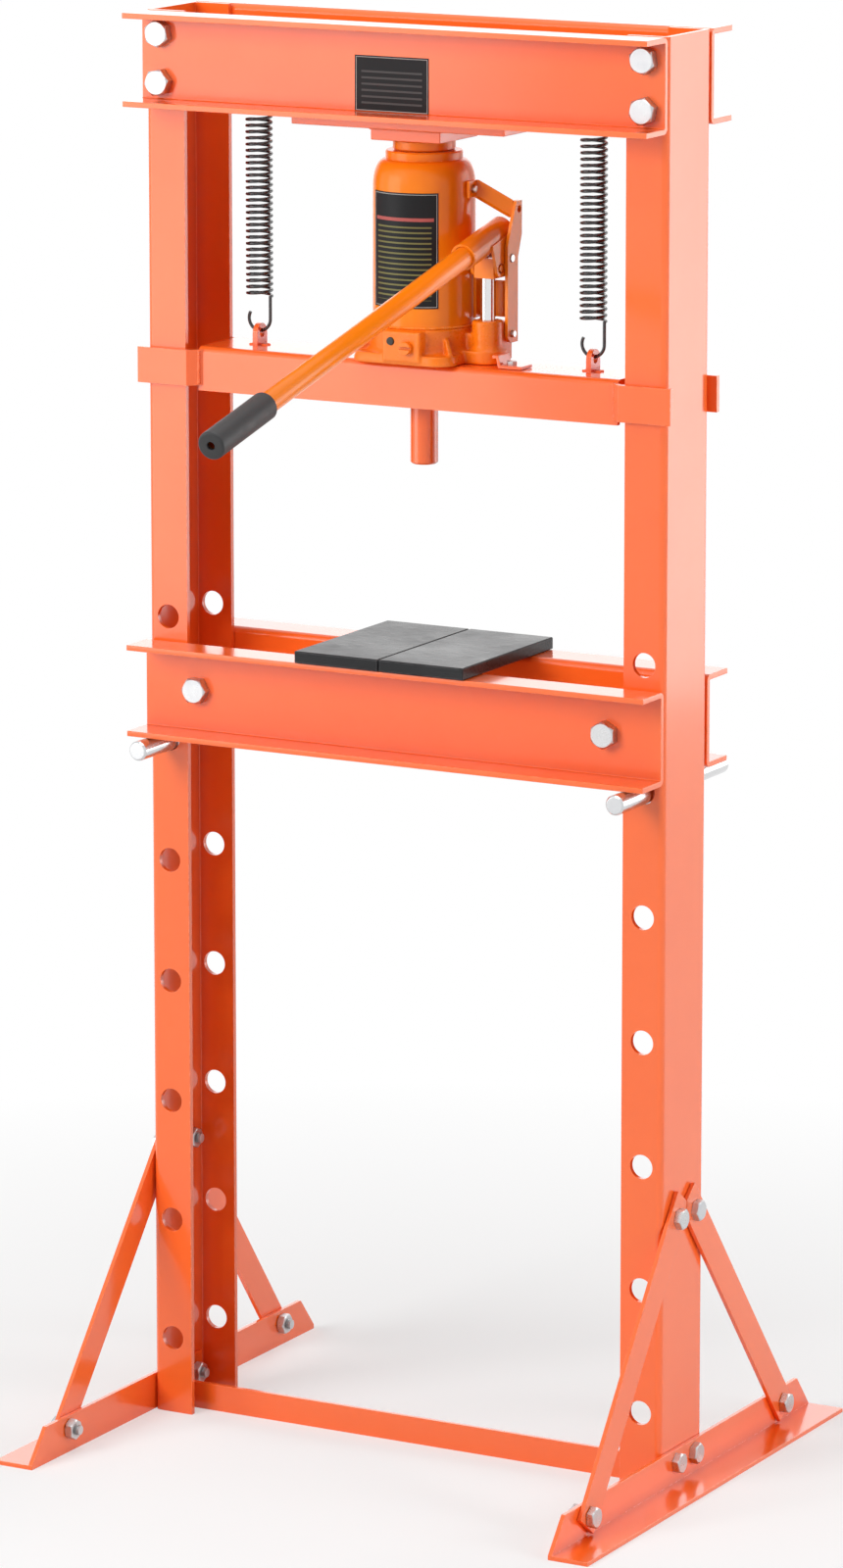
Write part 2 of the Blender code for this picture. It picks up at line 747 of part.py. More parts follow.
def make_moving_beam():
    top = beam_top_height
    outline = channel_outline(beam_depth, beam_height, beam_wall, channel_bend)
    section = [(across, top - rise) for across, rise in outline]
    beam = extruded("moving_beam", section, -beam_end_x, beam_end_x, "x")
    out_y = channel_depth / 2 + strap_clearance + strap_thickness / 2
    in_y = beam_depth / 2 - beam_wall + strap_weld_overlap - strap_thickness / 2
    for side, sign in sides_of_press():
        for end, way in ends_of_press():
            path = [
                (sign * (upright_x + strap_past_upright), way * out_y),
                (sign * (upright_x - channel_flange - strap_outer_bend), way * out_y),
                (sign * (beam_end_x - strap_inner_bend), way * in_y),
                (sign * (beam_end_x - strap_tail), way * in_y),
            ]
            strap = extruded(
                f"strap_{side}_{end}", strip_outline(path, strap_thickness),
                top - strap_height, top - beam_wall / 2, "z", helpers,
            )
            combine(beam, strap, "UNION")
        ear_centre = (0, top + ear_hole_height)
        sunk = top - beam_wall / 2
        outline = arc(ear_centre, ear_width / 2, 0, 180, 8) + [(-ear_width / 2, sunk), (ear_width / 2, sunk)]
        low, high = sign * ear_x - ear_thickness / 2, sign * ear_x + ear_thickness / 2
        combine(beam, extruded("ear_" + side, outline, low, high, "x", helpers), "UNION")
        low, high = low - cut_past, high + cut_past
        hole = [((low, *ear_centre), (high, *ear_centre), ear_hole_diameter, 16)]
        combine(beam, rods("hole_ear_" + side, hole, cutters), "DIFFERENCE")
    painted(beam)
    rod_top = top - beam_wall - seat_gap
    run = ((0, 0, rod_top - press_rod_length), (0, 0, rod_top), press_rod_diameter, 28)
    rod = rods("press_rod", [run])
    bevel(rod, press_rod_edge, 1)
    painted(rod)


def spring_path(x):
    """The wire's middle: a hook through the ear, the coil, and a hook over the hanger."""
    radius = (spring_diameter - spring_wire) / 2
    touch = spring_wire / 2 + 2 * seat_gap
    low_z = beam_top_height + ear_hole_height + ear_hole_diameter / 2 - touch + radius
    high_z = hanger_height + hanger_diameter / 2 + touch - radius
    steps = spring_turns * spring_points_per_turn
    coil_high = spring_bottom_height + spring_turns * spring_pitch
    points = [(x + across, 0, low_z + up) for across, up in arc((0, 0), radius, 150, 360, 9)]
    for i in range(steps + 1):
        turn = 2 * math.pi * i / spring_points_per_turn
        rise = (coil_high - spring_bottom_height) * i / steps
        points.append((x + radius * math.cos(turn), radius * math.sin(turn), spring_bottom_height + rise))
    points += [(x + across, 0, high_z + up) for across, up in arc((0, 0), radius, 0, 210, 9)]
    return points


def make_springs():
    for side, sign in sides_of_press():
        curve = bpy.data.curves.new("spring_" + side, "CURVE")
        curve.dimensions = "3D"
        curve.bevel_depth = spring_wire / 2
        curve.bevel_resolution = 0
        curve.use_fill_caps = True
        points = spring_path(sign * ear_x)
        line = curve.splines.new("POLY")
        line.points.add(len(points) - 1)
        for point, place in zip(line.points, points):
            point.co = (*place, 1)
        spring = bpy.data.objects.new("spring_" + side, curve)
        parts.objects.link(spring)
        finish(spring, (0.02, 0.02, 0.02), 0.3)


def make_base():
    half_x, half_y, round_by = base_length / 2, base_depth / 2, base_corner
    outline = (
        arc((half_x - round_by, -half_y + round_by), round_by, -90, 0, 4)
        + arc((half_x - round_by, half_y - round_by), round_by, 0, 90, 4)
        + arc((-half_x + round_by, half_y - round_by), round_by, 90, 180, 4)
        + arc((-half_x + round_by, -half_y + round_by), round_by, 180, 270, 4)
    )
    foot, top = jack_foot, jack_foot + base_height
    base = extruded("jack_base", outline, foot, foot + base_flange, "z")
    barrel_top = foot + pump_barrel_rise
    boss_low = foot + base_flange / 2
    pump_foot = rounded_bar((0, 0), (pump_x, 0), pump_foot_width)
    joined = [
        rods("boss", [((0, 0, boss_low), (0, 0, top), base_boss_diameter, 40)], helpers),
        extruded("pump_foot", pump_foot, foot, foot + pump_foot_height, "z", helpers),
        rods("barrel", [((pump_x, 0, boss_low), (pump_x, 0, barrel_top), pump_barrel_diameter, 24)], helpers),
        block(
            "yoke_lug",
            (pump_x - cheek_reach, yoke_lug_front_y, foot + base_flange / 4),
            (pump_x + cheek_reach, yoke_rear_y - yoke_thickness - seat_gap, foot + yoke_lug_rise),
            helpers,
        ),
        block(
            "barrel_bridge",
            (tank_diameter / 2 - bridge_start, -bridge_width / 2, boss_low),
            (pump_x, bridge_width / 2, top - base_flange / 2),
            helpers,
        ),
        block(
            "valve_boss",
            (valve_boss_left_x, valve_boss_front_y, foot + base_flange / 3),
            (valve_boss_right_x, -base_boss_diameter / 4, foot + valve_boss_top),
            helpers,
        ),
    ]
    for shape in joined:
        combine(base, shape, "UNION")
    front, deep = valve_boss_front_y, valve_boss_front_y + valve_spindle_length + bore_clearance
    plug_deep = valve_boss_front_y + plug_length + bore_clearance
    valve_z, plug_z = foot + valve_rise, foot + plug_rise
    bore_floor = foot + pump_bore_floor
    lug_left, lug_right = pump_x - cheek_reach - cut_past, pump_x + cheek_reach + cut_past
    runs = [
        ((pump_x, 0, bore_floor), (pump_x, 0, barrel_top + cut_past), bored(plunger_diameter), 24),
        ((lug_left, yoke_bolt_y, yoke_bolt_z), (lug_right, yoke_bolt_y, yoke_bolt_z), yoke_bolt_hole, 16),
        ((valve_x, front - cut_past, valve_z), (valve_x, deep, valve_z), bored(valve_spindle_diameter), 16),
        ((plug_x, front - cut_past, plug_z), (plug_x, plug_deep, plug_z), bored(plug_diameter), 16),
    ]
    for i, run in enumerate(runs):
        combine(base, rods(f"bore_base_{i}", [run], cutters), "DIFFERENCE")
    jack_painted(base)


def make_valve_and_plug():
    front = valve_boss_front_y
    valve_z, plug_z = jack_foot + valve_rise, jack_foot + plug_rise
    head_face = front - seat_gap
    valve = rods("release_valve", [((0, -valve_head, 0), (0, 0, 0), valve_diameter, 20)])
    spindle = rods(
        "valve_spindle",
        [((0, -valve_head / 2, 0), (0, valve_spindle_length, 0), valve_spindle_diameter, 16)],
        helpers,
    )
    slot = block(
        "valve_slot",
        (-valve_diameter, -valve_head - cut_past, -valve_slot_width / 2),
        (valve_diameter, valve_slot_depth - valve_head, valve_slot_width / 2),
        cutters,
    )
    for thing in (valve, spindle, slot):
        thing.location = thing.location + Vector((valve_x, head_face, valve_z))
    combine(valve, spindle, "UNION")
    combine(valve, slot, "DIFFERENCE")
    plated(valve)
    near, far = front - plug_stand_out, front + plug_length
    plug = rods("filler_plug", [((plug_x, near, plug_z), (plug_x, far, plug_z), plug_diameter, 16)])
    finish(plug, (0.05, 0.05, 0.05), 0.6)


def make_tank():
    """The tank is turned in one, with the ram's bore open at its collar."""
    shoulder_r, tank_r = shoulder_diameter / 2, tank_diameter / 2
    bore_r = ram_diameter / 2 + ram_clearance
    reach, rise = tank_r - shoulder_r, tank_shoulder_height
    floor = tank_floor
    straight = tank_straight_height
    profile = [(0, floor), (bore_r, floor), (bore_r, straight + rise + collar_height)]
    collar_r = collar_diameter / 2
    profile += [(collar_r, straight + rise + collar_height), (collar_r, straight + rise)]
    for i in range(7):
        angle = math.pi / 2 * (1 - i / 6)
        profile.append((shoulder_r + reach * math.cos(angle), straight + rise * math.sin(angle)))
    profile += [(tank_r, 0), (0, 0)]
    jack_painted(turned_solid("jack_tank", profile, (0, 0, tank_foot), 36))
    ear_start = tank_r - tank_ear_root
    ear_end = yoke_inner_x + yoke_thickness / 2 - stay_thickness / 2 - seat_gap
    tank = parts.objects["jack_tank"]
    ear = rods("tank_ear", [((ear_start, 0, stay_z), (ear_end, 0, stay_z), tank_ear_diameter, 16)], helpers)
    combine(tank, ear, "UNION")
    bolt_root = tank_r - ear_bolt_root - seat_gap
    hole = [((bolt_root, 0, stay_z), (ear_end + cut_past, 0, stay_z), yoke_bolt_hole, 16)]
    combine(tank, rods("hole_tank_ear", hole, cutters), "DIFFERENCE")
    ram_foot = tank_foot + tank_floor + seat_gap
    saddle_r, ram_r = saddle_diameter / 2, ram_diameter / 2
    length = ram_top - ram_foot
    neck = length - saddle_height
    ram_profile = [(0, length), (saddle_r, length), (saddle_r, neck), (ram_r, neck), (ram_r, 0), (0, 0)]
    polished(turned_solid("jack_ram", ram_profile, (0, 0, ram_foot), 32))


def make_plunger():
    bar = rods(
        "pump_plunger",
        [((pump_x, 0, jack_foot + plunger_foot), (pump_x, 0, plunger_pin_z), plunger_diameter, 24)],
    )
    half = cheek_reach - cheek_thickness - cheek_gap
    low = plunger_pin_z - plunger_head_height / 2
    head = block(
        "plunger_head",
        (pump_x - half, -plunger_head_depth / 2, low),
        (pump_x + half, plunger_head_depth / 2, low + plunger_head_height),
        helpers,
    )
    reach = cheek_reach + cheek_gap / 2
    pin = rods(
        "plunger_pin",
        [((pump_x - reach, 0, plunger_pin_z), (pump_x + reach, 0, plunger_pin_z), plunger_pin_diameter, 16)],
        helpers,
    )
    combine(bar, head, "UNION")
    combine(bar, pin, "UNION")
    polished(bar)


def handle_z(y):
    """Height of the handle's axis at y: it falls towards the front."""
    return fulcrum_z + handle_offset + (y - fulcrum_y) * math.tan(handle_drop)


def on_handle(y):
    return Vector((pump_x, y, handle_z(y)))


def make_handle():
    """The socket turns on the fulcrum pin, and its slots drive the plunger's pin."""
    front, rear = on_handle(socket_front_y), on_handle(socket_rear_y)
    socket = rods("handle_socket", [(front, rear, socket_diameter, 28)])
    along = (rear - front).normalized()
    pin_y, pin_z = 0, plunger_pin_z
    rear_y, front_y = fulcrum_y + cheek_rim, pin_y - 2 * cheek_rim
    outline = (
        [(rear_y, handle_z(rear_y)), (front_y, handle_z(front_y))]
        + arc((pin_y, pin_z), cheek_rim, 180, 270, 4)
        + arc((fulcrum_y, pin_z), cheek_rim, 270, 360, 4)
    )
    for name, outer in (("inner", -1), ("outer", 1)):
        faces = sorted((pump_x + outer * cheek_reach, pump_x + outer * (cheek_reach - cheek_thickness)))
        combine(socket, extruded("cheek_" + name, outline, faces[0], faces[1], "x", helpers), "UNION")
    middle = pin_y + slot_shift
    slot_ends = (middle - slot_travel / 2, pin_z), (middle + slot_travel / 2, pin_z)
    left, right = pump_x - cheek_reach - cut_past, pump_x + cheek_reach + cut_past
    slot = extruded("cheek_slots", rounded_bar(*slot_ends, slot_height), left, right, "x", cutters)
    pivot = hole_size(fulcrum_pin_diameter)
    hole = [((left, fulcrum_y, fulcrum_z), (right, fulcrum_y, fulcrum_z), pivot, 16)]
    bore = [(front - along * cut_past, rear - along * socket_back_wall, rod_diameter + 2 * rod_clearance, 24)]
    combine(socket, slot, "DIFFERENCE")
    combine(socket, rods("hole_cheeks", hole, cutters), "DIFFERENCE")
    combine(socket, rods("bore_socket", bore, cutters), "DIFFERENCE")
    jack_painted(socket)
    rod_end = on_handle(rod_front_y)
    painted(rods("handle_rod", [(rod_end, on_handle(rod_rear_y), rod_diameter, 24)]))
    grip_front = rod_end - along * grip_overhang
    grip = rods("handle_grip", [(grip_front, grip_front + along * grip_length, grip_diameter, 24)])
    start, end = grip_front - along * cut_past, grip_front + along * (grip_length + cut_past)
    hollow = [(start, end, rod_diameter + 2 * rod_clearance, 24)]
    combine(grip, rods("bore_grip", hollow, cutters), "DIFFERENCE")
    finish(grip, (0.02, 0.02, 0.02), 0.6)


def make_yoke():
    """Two plates and a web behind the pump carry the fulcrum pin, bolted to the base's lug."""
    foot = jack_foot
    low, high = yoke_bolt_z, foot + yoke_top_rise
    corner = yoke_bolt_y - yoke_front_y
    outline = (
        [(yoke_front_y, low), *arc((yoke_bolt_y, low), corner, 180, 270, 3)[1:], (yoke_rear_y, low - corner)]
        + [(yoke_rear_y, fulcrum_z), (stay_rear_y, fulcrum_z + yoke_rear_corner_rise), (stay_rear_y, high)]
        + [(stay_bend_rear_y, high), (yoke_front_y, fulcrum_z + yoke_front_corner_rise)]
    )
    yoke = extruded("fulcrum_yoke", outline, yoke_outer_x, yoke_outer_x + yoke_thickness, "x")
    inner = block(
        "yoke_inner_plate",
        (yoke_inner_x, yoke_front_y, foot + yoke_web_low),
        (yoke_inner_x + yoke_thickness, yoke_rear_y, foot + yoke_inner_high),
        helpers,
    )
    web = block(
        "yoke_web",
        (yoke_inner_x + yoke_thickness / 2, yoke_rear_y - yoke_thickness, foot + yoke_web_low),
        (yoke_outer_x + yoke_thickness / 2, yoke_rear_y - yoke_web_inset, foot + yoke_web_high),
        helpers,
    )
    combine(yoke, inner, "UNION")
    combine(yoke, web, "UNION")
    stay_bolt_z = foot + stay_rear_rise
    reach = yoke_outer_x + 2 * yoke_thickness
    pivot = hole_size(fulcrum_pin_diameter)
    runs = [
        ((yoke_inner_x - cut_past, fulcrum_y, fulcrum_z), (reach, fulcrum_y, fulcrum_z), pivot, 16),
        ((pump_x, yoke_bolt_y, yoke_bolt_z), (reach, yoke_bolt_y, yoke_bolt_z), yoke_bolt_hole, 16),
        ((pump_x, stay_bolt_y, stay_bolt_z), (reach, stay_bolt_y, stay_bolt_z), yoke_bolt_hole, 16),
    ]
    combine(yoke, rods("holes_yoke", runs, cutters), "DIFFERENCE")
    jack_painted(yoke)
    start, end = yoke_inner_x - fulcrum_pin_inner_end, yoke_outer_x + yoke_thickness + fulcrum_pin_outer_end
    pin = ((start, fulcrum_y, fulcrum_z), (end, fulcrum_y, fulcrum_z), fulcrum_pin_diameter, 16)
    plated(rods("fulcrum_pin", [pin]))
    start, end = pump_x - cheek_reach + yoke_bolt_inset, yoke_outer_x + yoke_thickness + bolt_end
    bolt = ((start, yoke_bolt_y, yoke_bolt_z), (end, yoke_bolt_y, yoke_bolt_z), yoke_bolt_diameter, 16)
    plated(rods("yoke_bolt", [bolt]))


def make_stay_arm():
    """A bent strip from the tank's ear to the yoke's outer plate, cut to slope down at the rear."""
    near = yoke_inner_x + yoke_thickness / 2
    far = yoke_outer_x - seat_gap - stay_thickness / 2
    path = [(near, stay_front_y), (near, stay_bend_front_y), (far, stay_bend_rear_y), (far, stay_rear_y)]
    low, high = jack_foot + yoke_inner_high, tank_top
    arm = extruded("stay_arm", strip_outline(path, stay_thickness), low, high, "z")
    rear_z = jack_foot + stay_rear_rise
    half = stay_height / 2
    band = [
        (stay_front_y - cut_past, stay_z - half),
        (stay_bend_front_y, stay_z - half),
        (stay_bend_rear_y, rear_z - half),
        (stay_rear_y + cut_past, rear_z - half),
        (stay_rear_y + cut_past, rear_z + half),
        (stay_bend_rear_y, rear_z + half),
        (stay_bend_front_y, stay_z + half),
        (stay_front_y - cut_past, stay_z + half),
    ]
    combine(arm, extruded("stay_side", band, near - cut_past, far + cut_past, "x", cutters), "INTERSECT")
    runs = [
        ((x - 2 * stay_thickness, y, z), (x + 2 * stay_thickness, y, z), yoke_bolt_hole, 16)
        for x, y, z in ((near, 0, stay_z), (far, stay_bolt_y, rear_z))
    ]
    combine(arm, rods("holes_stay", runs, cutters), "DIFFERENCE")
    jack_painted(arm)
    start, end = tank_diameter / 2 - ear_bolt_root, near + stay_thickness / 2 + bolt_end
    plated(rods("ear_bolt", [((start, 0, stay_z), (end, 0, stay_z), yoke_bolt_diameter, 16)]))


def turn_about(thing, point, axis, angle):
    place = Matrix.Translation(Vector(point))
    thing.matrix_world = place @ Matrix.Rotation(angle, 4, axis) @ place.inverted() @ thing.matrix_world


clear_scene()
parts = new_collection(model_name, bpy.context.scene.collection)
cutters = new_collection("cutters", bpy.context.scene.collection)
helpers = new_collection("helpers", bpy.context.scene.collection)
make_uprights()
make_top()
make_feet()
make_braces()
make_small_bolts()
make_crossbar()
make_bed()
make_moving_beam()
make_springs()
make_base()
make_valve_and_plug()
make_tank()
make_plunger()
make_handle()
make_yoke()
make_stay_arm()
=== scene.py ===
import math

import bmesh
import bpy
from mathutils import Matrix, Vector


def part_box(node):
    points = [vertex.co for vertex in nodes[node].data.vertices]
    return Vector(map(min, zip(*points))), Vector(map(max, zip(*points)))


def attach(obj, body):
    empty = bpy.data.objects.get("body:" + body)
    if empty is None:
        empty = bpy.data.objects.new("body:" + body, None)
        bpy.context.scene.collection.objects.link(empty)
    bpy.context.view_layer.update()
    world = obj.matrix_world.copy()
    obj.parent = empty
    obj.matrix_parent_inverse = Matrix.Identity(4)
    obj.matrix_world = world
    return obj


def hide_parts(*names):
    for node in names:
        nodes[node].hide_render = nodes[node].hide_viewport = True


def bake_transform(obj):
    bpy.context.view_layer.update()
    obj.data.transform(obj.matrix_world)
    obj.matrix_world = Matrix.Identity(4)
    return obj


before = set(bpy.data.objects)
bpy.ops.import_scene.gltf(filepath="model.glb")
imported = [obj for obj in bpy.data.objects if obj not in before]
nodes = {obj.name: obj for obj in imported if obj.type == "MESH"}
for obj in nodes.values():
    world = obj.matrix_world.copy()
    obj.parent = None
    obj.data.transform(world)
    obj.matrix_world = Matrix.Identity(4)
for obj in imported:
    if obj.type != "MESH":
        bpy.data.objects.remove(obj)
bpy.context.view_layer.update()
print("frame loaded:", len(nodes), "nodes")

floatType, vectorType = "NodeSocketFloat", "NodeSocketVector"
shapeType, materialType = "NodeSocketGeometry", "NodeSocketMaterial"
sidesOfPress = (("Left", "left", -1), ("Right", "right", 1))
endsOfPress = (("Front", "front", -1), ("Rear", "rear", 1))


# node helpers

def put(tree, kind, feeds=None, **settings):
    node = tree.nodes.new(kind)
    for key, value in settings.items():
        setattr(node, key, value)
    for key, value in (feeds or {}).items():
        socket = node.inputs[key]
        if isinstance(value, bpy.types.NodeSocket):
            tree.links.new(value, socket)
        else:
            socket.default_value = value
    return node


def calc(tree, operation, *values, clamp=False):
    node = put(tree, "ShaderNodeMath", dict(enumerate(values)), operation=operation, use_clamp=clamp)
    return node.outputs[0]


def spread(tree, value, low, high, newLow=0.0, newHigh=1.0):
    feeds = {"Value": value, "From Min": low, "From Max": high, "To Min": newLow, "To Max": newHigh}
    return put(tree, "ShaderNodeMapRange", feeds).outputs["Result"]


def blendColours(tree, share, first, second):
    # on a colour mix node the sockets 0, 6 and 7 are the share and the two colours
    return put(tree, "ShaderNodeMix", {0: share, 6: first, 7: second}, data_type="RGBA").outputs[2]


def newGroup(name, kind, inputs, outputs):
    tree = bpy.data.node_groups.new(name, kind)
    for label, socketType, value in inputs:
        socket = tree.interface.new_socket(label, in_out="INPUT", socket_type=socketType)
        if value is not None:
            socket.default_value = value
    for label, socketType in outputs:
        tree.interface.new_socket(label, in_out="OUTPUT", socket_type=socketType)
    return tree, tree.nodes.new("NodeGroupInput"), tree.nodes.new("NodeGroupOutput")


def useGroup(tree, group, feeds):
    kind = "ShaderNodeGroup" if tree.bl_idname == "ShaderNodeTree" else "GeometryNodeGroup"
    return put(tree, kind, feeds, node_tree=group)


# surface effects shared by the finishes

def makeEdgeWearAndHighlight():
    # painted highlight and wear: a lighter colour in patches along sharp edges, found where the Bevel node's
    # rounded normal parts from the flat one
    inputs = [("Edge Width", floatType, 0.001), ("Patch Scale", floatType, 60), ("Cover", floatType, 0.5)]
    tree, start, end = newGroup("edgeWearAndHighlight", "ShaderNodeTree", inputs, [("Mask", floatType)])
    rounded = put(tree, "ShaderNodeBevel", {"Radius": start.outputs["Edge Width"]}, samples=4)
    flat = put(tree, "ShaderNodeNewGeometry")
    feeds = {0: rounded.outputs["Normal"], 1: flat.outputs["Normal"]}
    match = put(tree, "ShaderNodeVectorMath", feeds, operation="DOT_PRODUCT").outputs["Value"]
    edge = spread(tree, match, 0.99, 0.88)
    place = put(tree, "ShaderNodeTexCoord").outputs["Object"]
    feeds = {"Vector": place, "Scale": start.outputs["Patch Scale"], "Detail": 4.0}
    patch = put(tree, "ShaderNodeTexNoise", feeds).outputs["Fac"]
    low = calc(tree, "SUBTRACT", 0.72, calc(tree, "MULTIPLY", start.outputs["Cover"], 0.4))
    patch = spread(tree, patch, low, calc(tree, "ADD", low, 0.10))
    tree.links.new(calc(tree, "MULTIPLY", edge, patch), end.inputs["Mask"])
    return tree


def makeSurfaceGrain():
    inputs = [("Fine Scale", floatType, 900), ("Broad Scale", floatType, 6),
              ("Stretch", vectorType, (1, 1, 1))]
    outputs = [("Fine", floatType), ("Broad", floatType)]
    tree, start, end = newGroup("surfaceGrain", "ShaderNodeTree", inputs, outputs)
    place = put(tree, "ShaderNodeTexCoord").outputs["Object"]
    drawn = put(tree, "ShaderNodeMapping", {"Vector": place, "Scale": start.outputs["Stretch"]}).outputs[0]
    feeds = {"Vector": drawn, "Scale": start.outputs["Fine Scale"], "Detail": 3.0, "Roughness": 0.55}
    fine = put(tree, "ShaderNodeTexNoise", feeds).outputs["Fac"]
    feeds = {"Vector": place, "Scale": start.outputs["Broad Scale"], "Detail": 5.0, "Roughness": 0.6}
    broad = put(tree, "ShaderNodeTexNoise", feeds).outputs["Fac"]
    tree.links.new(fine, end.inputs["Fine"])
    tree.links.new(spread(tree, broad, 0.3, 0.7), end.inputs["Broad"])
    return tree


def makeCornerShade():
    # painted shade: ambient occlusion darkens the colour in corners, creases and recesses
    inputs = [("Reach", floatType, 0.012), ("Amount", floatType, 0.5)]
    tree, start, end = newGroup("cornerShade", "ShaderNodeTree", inputs, [("Mask", floatType)])
    feeds = {"Distance": start.outputs["Reach"]}
    exposed = put(tree, "ShaderNodeAmbientOcclusion", feeds, samples=4, only_local=True).outputs["AO"]
    closed = spread(tree, exposed, 0.95, 0.45)
    tree.links.new(calc(tree, "MULTIPLY", closed, start.outputs["Amount"]), end.inputs["Mask"])
    return tree


edgeWearAndHighlight = makeEdgeWearAndHighlight()
surfaceGrain = makeSurfaceGrain()
cornerShade = makeCornerShade()

plainFinish = {
    "colour": (0.5, 0.5, 0.5), "broadColour": None, "edgeColour": None, "cornerColour": None,
    "edgeAmount": 0.5, "edgeWidth": 0.0012, "edgeScale": 90, "edgeCover": 0.5,
    "cornerReach": 0.012, "cornerAmount": 0.5,
    "roughness": 0.35, "roughSpread": 0.1, "metallic": 0.0, "coat": 0.0, "coatRoughness": 0.1,
    "fineScale": 700, "broadScale": 7, "stretch": (1, 1, 1), "grainDepth": 0.00002,
    "ringAxis": None, "ringScale": 500, "ringDepth": 0.00001, "specular": 0.5,
}


def makeFinish(name, **changes):
    values = {**plainFinish, **changes}
    material = bpy.data.materials.new(name)
    material.use_nodes = True
    tree = material.node_tree
    shader = tree.nodes["Principled BSDF"]
    feeds = {"Fine Scale": values["fineScale"], "Broad Scale": values["broadScale"],
             "Stretch": values["stretch"]}
    grain = useGroup(tree, surfaceGrain, feeds)
    fine, broad = grain.outputs["Fine"], grain.outputs["Broad"]
    colour = (*values["colour"], 1)
    if values["broadColour"]:
        colour = blendColours(tree, broad, colour, (*values["broadColour"], 1))
    # painted shade in corners, creases and recesses, from ambient occlusion
    if values["cornerColour"]:
        feeds = {"Reach": values["cornerReach"], "Amount": values["cornerAmount"]}
        shade = useGroup(tree, cornerShade, feeds).outputs["Mask"]
        colour = blendColours(tree, shade, colour, (*values["cornerColour"], 1))
    half = values["roughSpread"] / 2
    rough = spread(tree, fine, 0.3, 0.7, values["roughness"] - half, values["roughness"] + half)
    drift = calc(tree, "MULTIPLY", calc(tree, "SUBTRACT", broad, 0.5), values["roughSpread"])
    rough = calc(tree, "ADD", rough, drift)
    # painted highlight and wear: the edges take the lighter edge colour in patches
    if values["edgeColour"]:
        feeds = {"Edge Width": values["edgeWidth"], "Patch Scale": values["edgeScale"],
                 "Cover": values["edgeCover"]}
        wearAndHighlight = useGroup(tree, edgeWearAndHighlight, feeds).outputs["Mask"]
        wearAndHighlight = calc(tree, "MULTIPLY", wearAndHighlight, values["edgeAmount"])
        colour = blendColours(tree, wearAndHighlight, colour, (*values["edgeColour"], 1))
        rough = calc(tree, "ADD", rough, calc(tree, "MULTIPLY", wearAndHighlight, 0.15))
    if isinstance(colour, tuple):
        shader.inputs["Base Color"].default_value = colour
    else:
        tree.links.new(colour, shader.inputs["Base Color"])
    tree.links.new(rough, shader.inputs["Roughness"])
    shader.inputs["Metallic"].default_value = values["metallic"]
    shader.inputs["Specular IOR Level"].default_value = values["specular"]
    shader.inputs["Coat Weight"].default_value = values["coat"]
    shader.inputs["Coat Roughness"].default_value = values["coatRoughness"]
    bump = put(tree, "ShaderNodeBump", {"Height": fine, "Strength": 1.0, "Distance": values["grainDepth"]})
    if values["ringAxis"]:
        place = put(tree, "ShaderNodeTexCoord").outputs["Object"]
        feeds = {"Vector": place, "Scale": values["ringScale"], "Distortion": 0.4, "Detail": 2.0}
        rings = put(tree, "ShaderNodeTexWave", feeds, bands_direction=values["ringAxis"]).outputs["Fac"]
        feeds = {"Height": rings, "Strength": 1.0, "Distance": values["ringDepth"], "Normal": bump.outputs[0]}
        bump = put(tree, "ShaderNodeBump", feeds)
    tree.links.new(bump.outputs[0], shader.inputs["Normal"])
    return material


framePaint = makeFinish(
    "frameEnamel", colour=(0.96, 0.150, 0.020), broadColour=(0.93, 0.135, 0.016),
    cornerColour=(0.50, 0.035, 0.004), edgeColour=(1.0, 0.34, 0.16), edgeAmount=0.4, edgeScale=140,
    edgeCover=0.7, cornerAmount=0.45,
    roughness=0.22, roughSpread=0.05, coat=0.6, specular=0.5, fineScale=420, grainDepth=0.000012,
)
jackPaint = makeFinish(
    "jackEnamel", colour=(0.92, 0.235, 0.005), broadColour=(0.88, 0.205, 0.004),
    cornerColour=(0.52, 0.050, 0.001), edgeColour=(1.0, 0.42, 0.10), edgeAmount=0.5, edgeScale=160,
    edgeCover=0.7, cornerReach=0.006,
    roughness=0.20, roughSpread=0.08, specular=0.38, fineScale=380, grainDepth=0.00002,
)
castPaint = makeFinish(
    "castEnamel", colour=(0.90, 0.200, 0.004), broadColour=(0.83, 0.165, 0.003),
    cornerColour=(0.50, 0.050, 0.002), edgeColour=(1.0, 0.42, 0.13), edgeAmount=0.35, edgeScale=160,
    edgeCover=0.6, edgeWidth=0.002,
    roughness=0.34, roughSpread=0.14, coat=0.1, coatRoughness=0.2, fineScale=330, grainDepth=0.00028,
)
zincPlate = makeFinish(
    "zincPlate", colour=(0.62, 0.62, 0.62), broadColour=(0.54, 0.55, 0.57), cornerColour=(0.16, 0.14, 0.13),
    edgeColour=(0.85, 0.85, 0.85), cornerReach=0.003, roughness=0.34, roughSpread=0.16, metallic=1.0,
    fineScale=900, broadScale=60, grainDepth=0.00002,
)
pinSteel = makeFinish(
    "pinSteel", colour=(0.70, 0.70, 0.70), broadColour=(0.62, 0.63, 0.65), edgeColour=(0.9, 0.9, 0.9),
    roughness=0.22, roughSpread=0.12, metallic=1.0, stretch=(1, 0.1, 1), fineScale=700,
    ringAxis="Y", ringScale=420, ringDepth=0.000006,
)
ramSteel = makeFinish(
    "ramSteel", colour=(0.78, 0.78, 0.78), broadColour=(0.70, 0.71, 0.72), roughness=0.14, roughSpread=0.08,
    metallic=1.0, fineScale=800, ringAxis="Z", ringScale=500, ringDepth=0.000004,
)
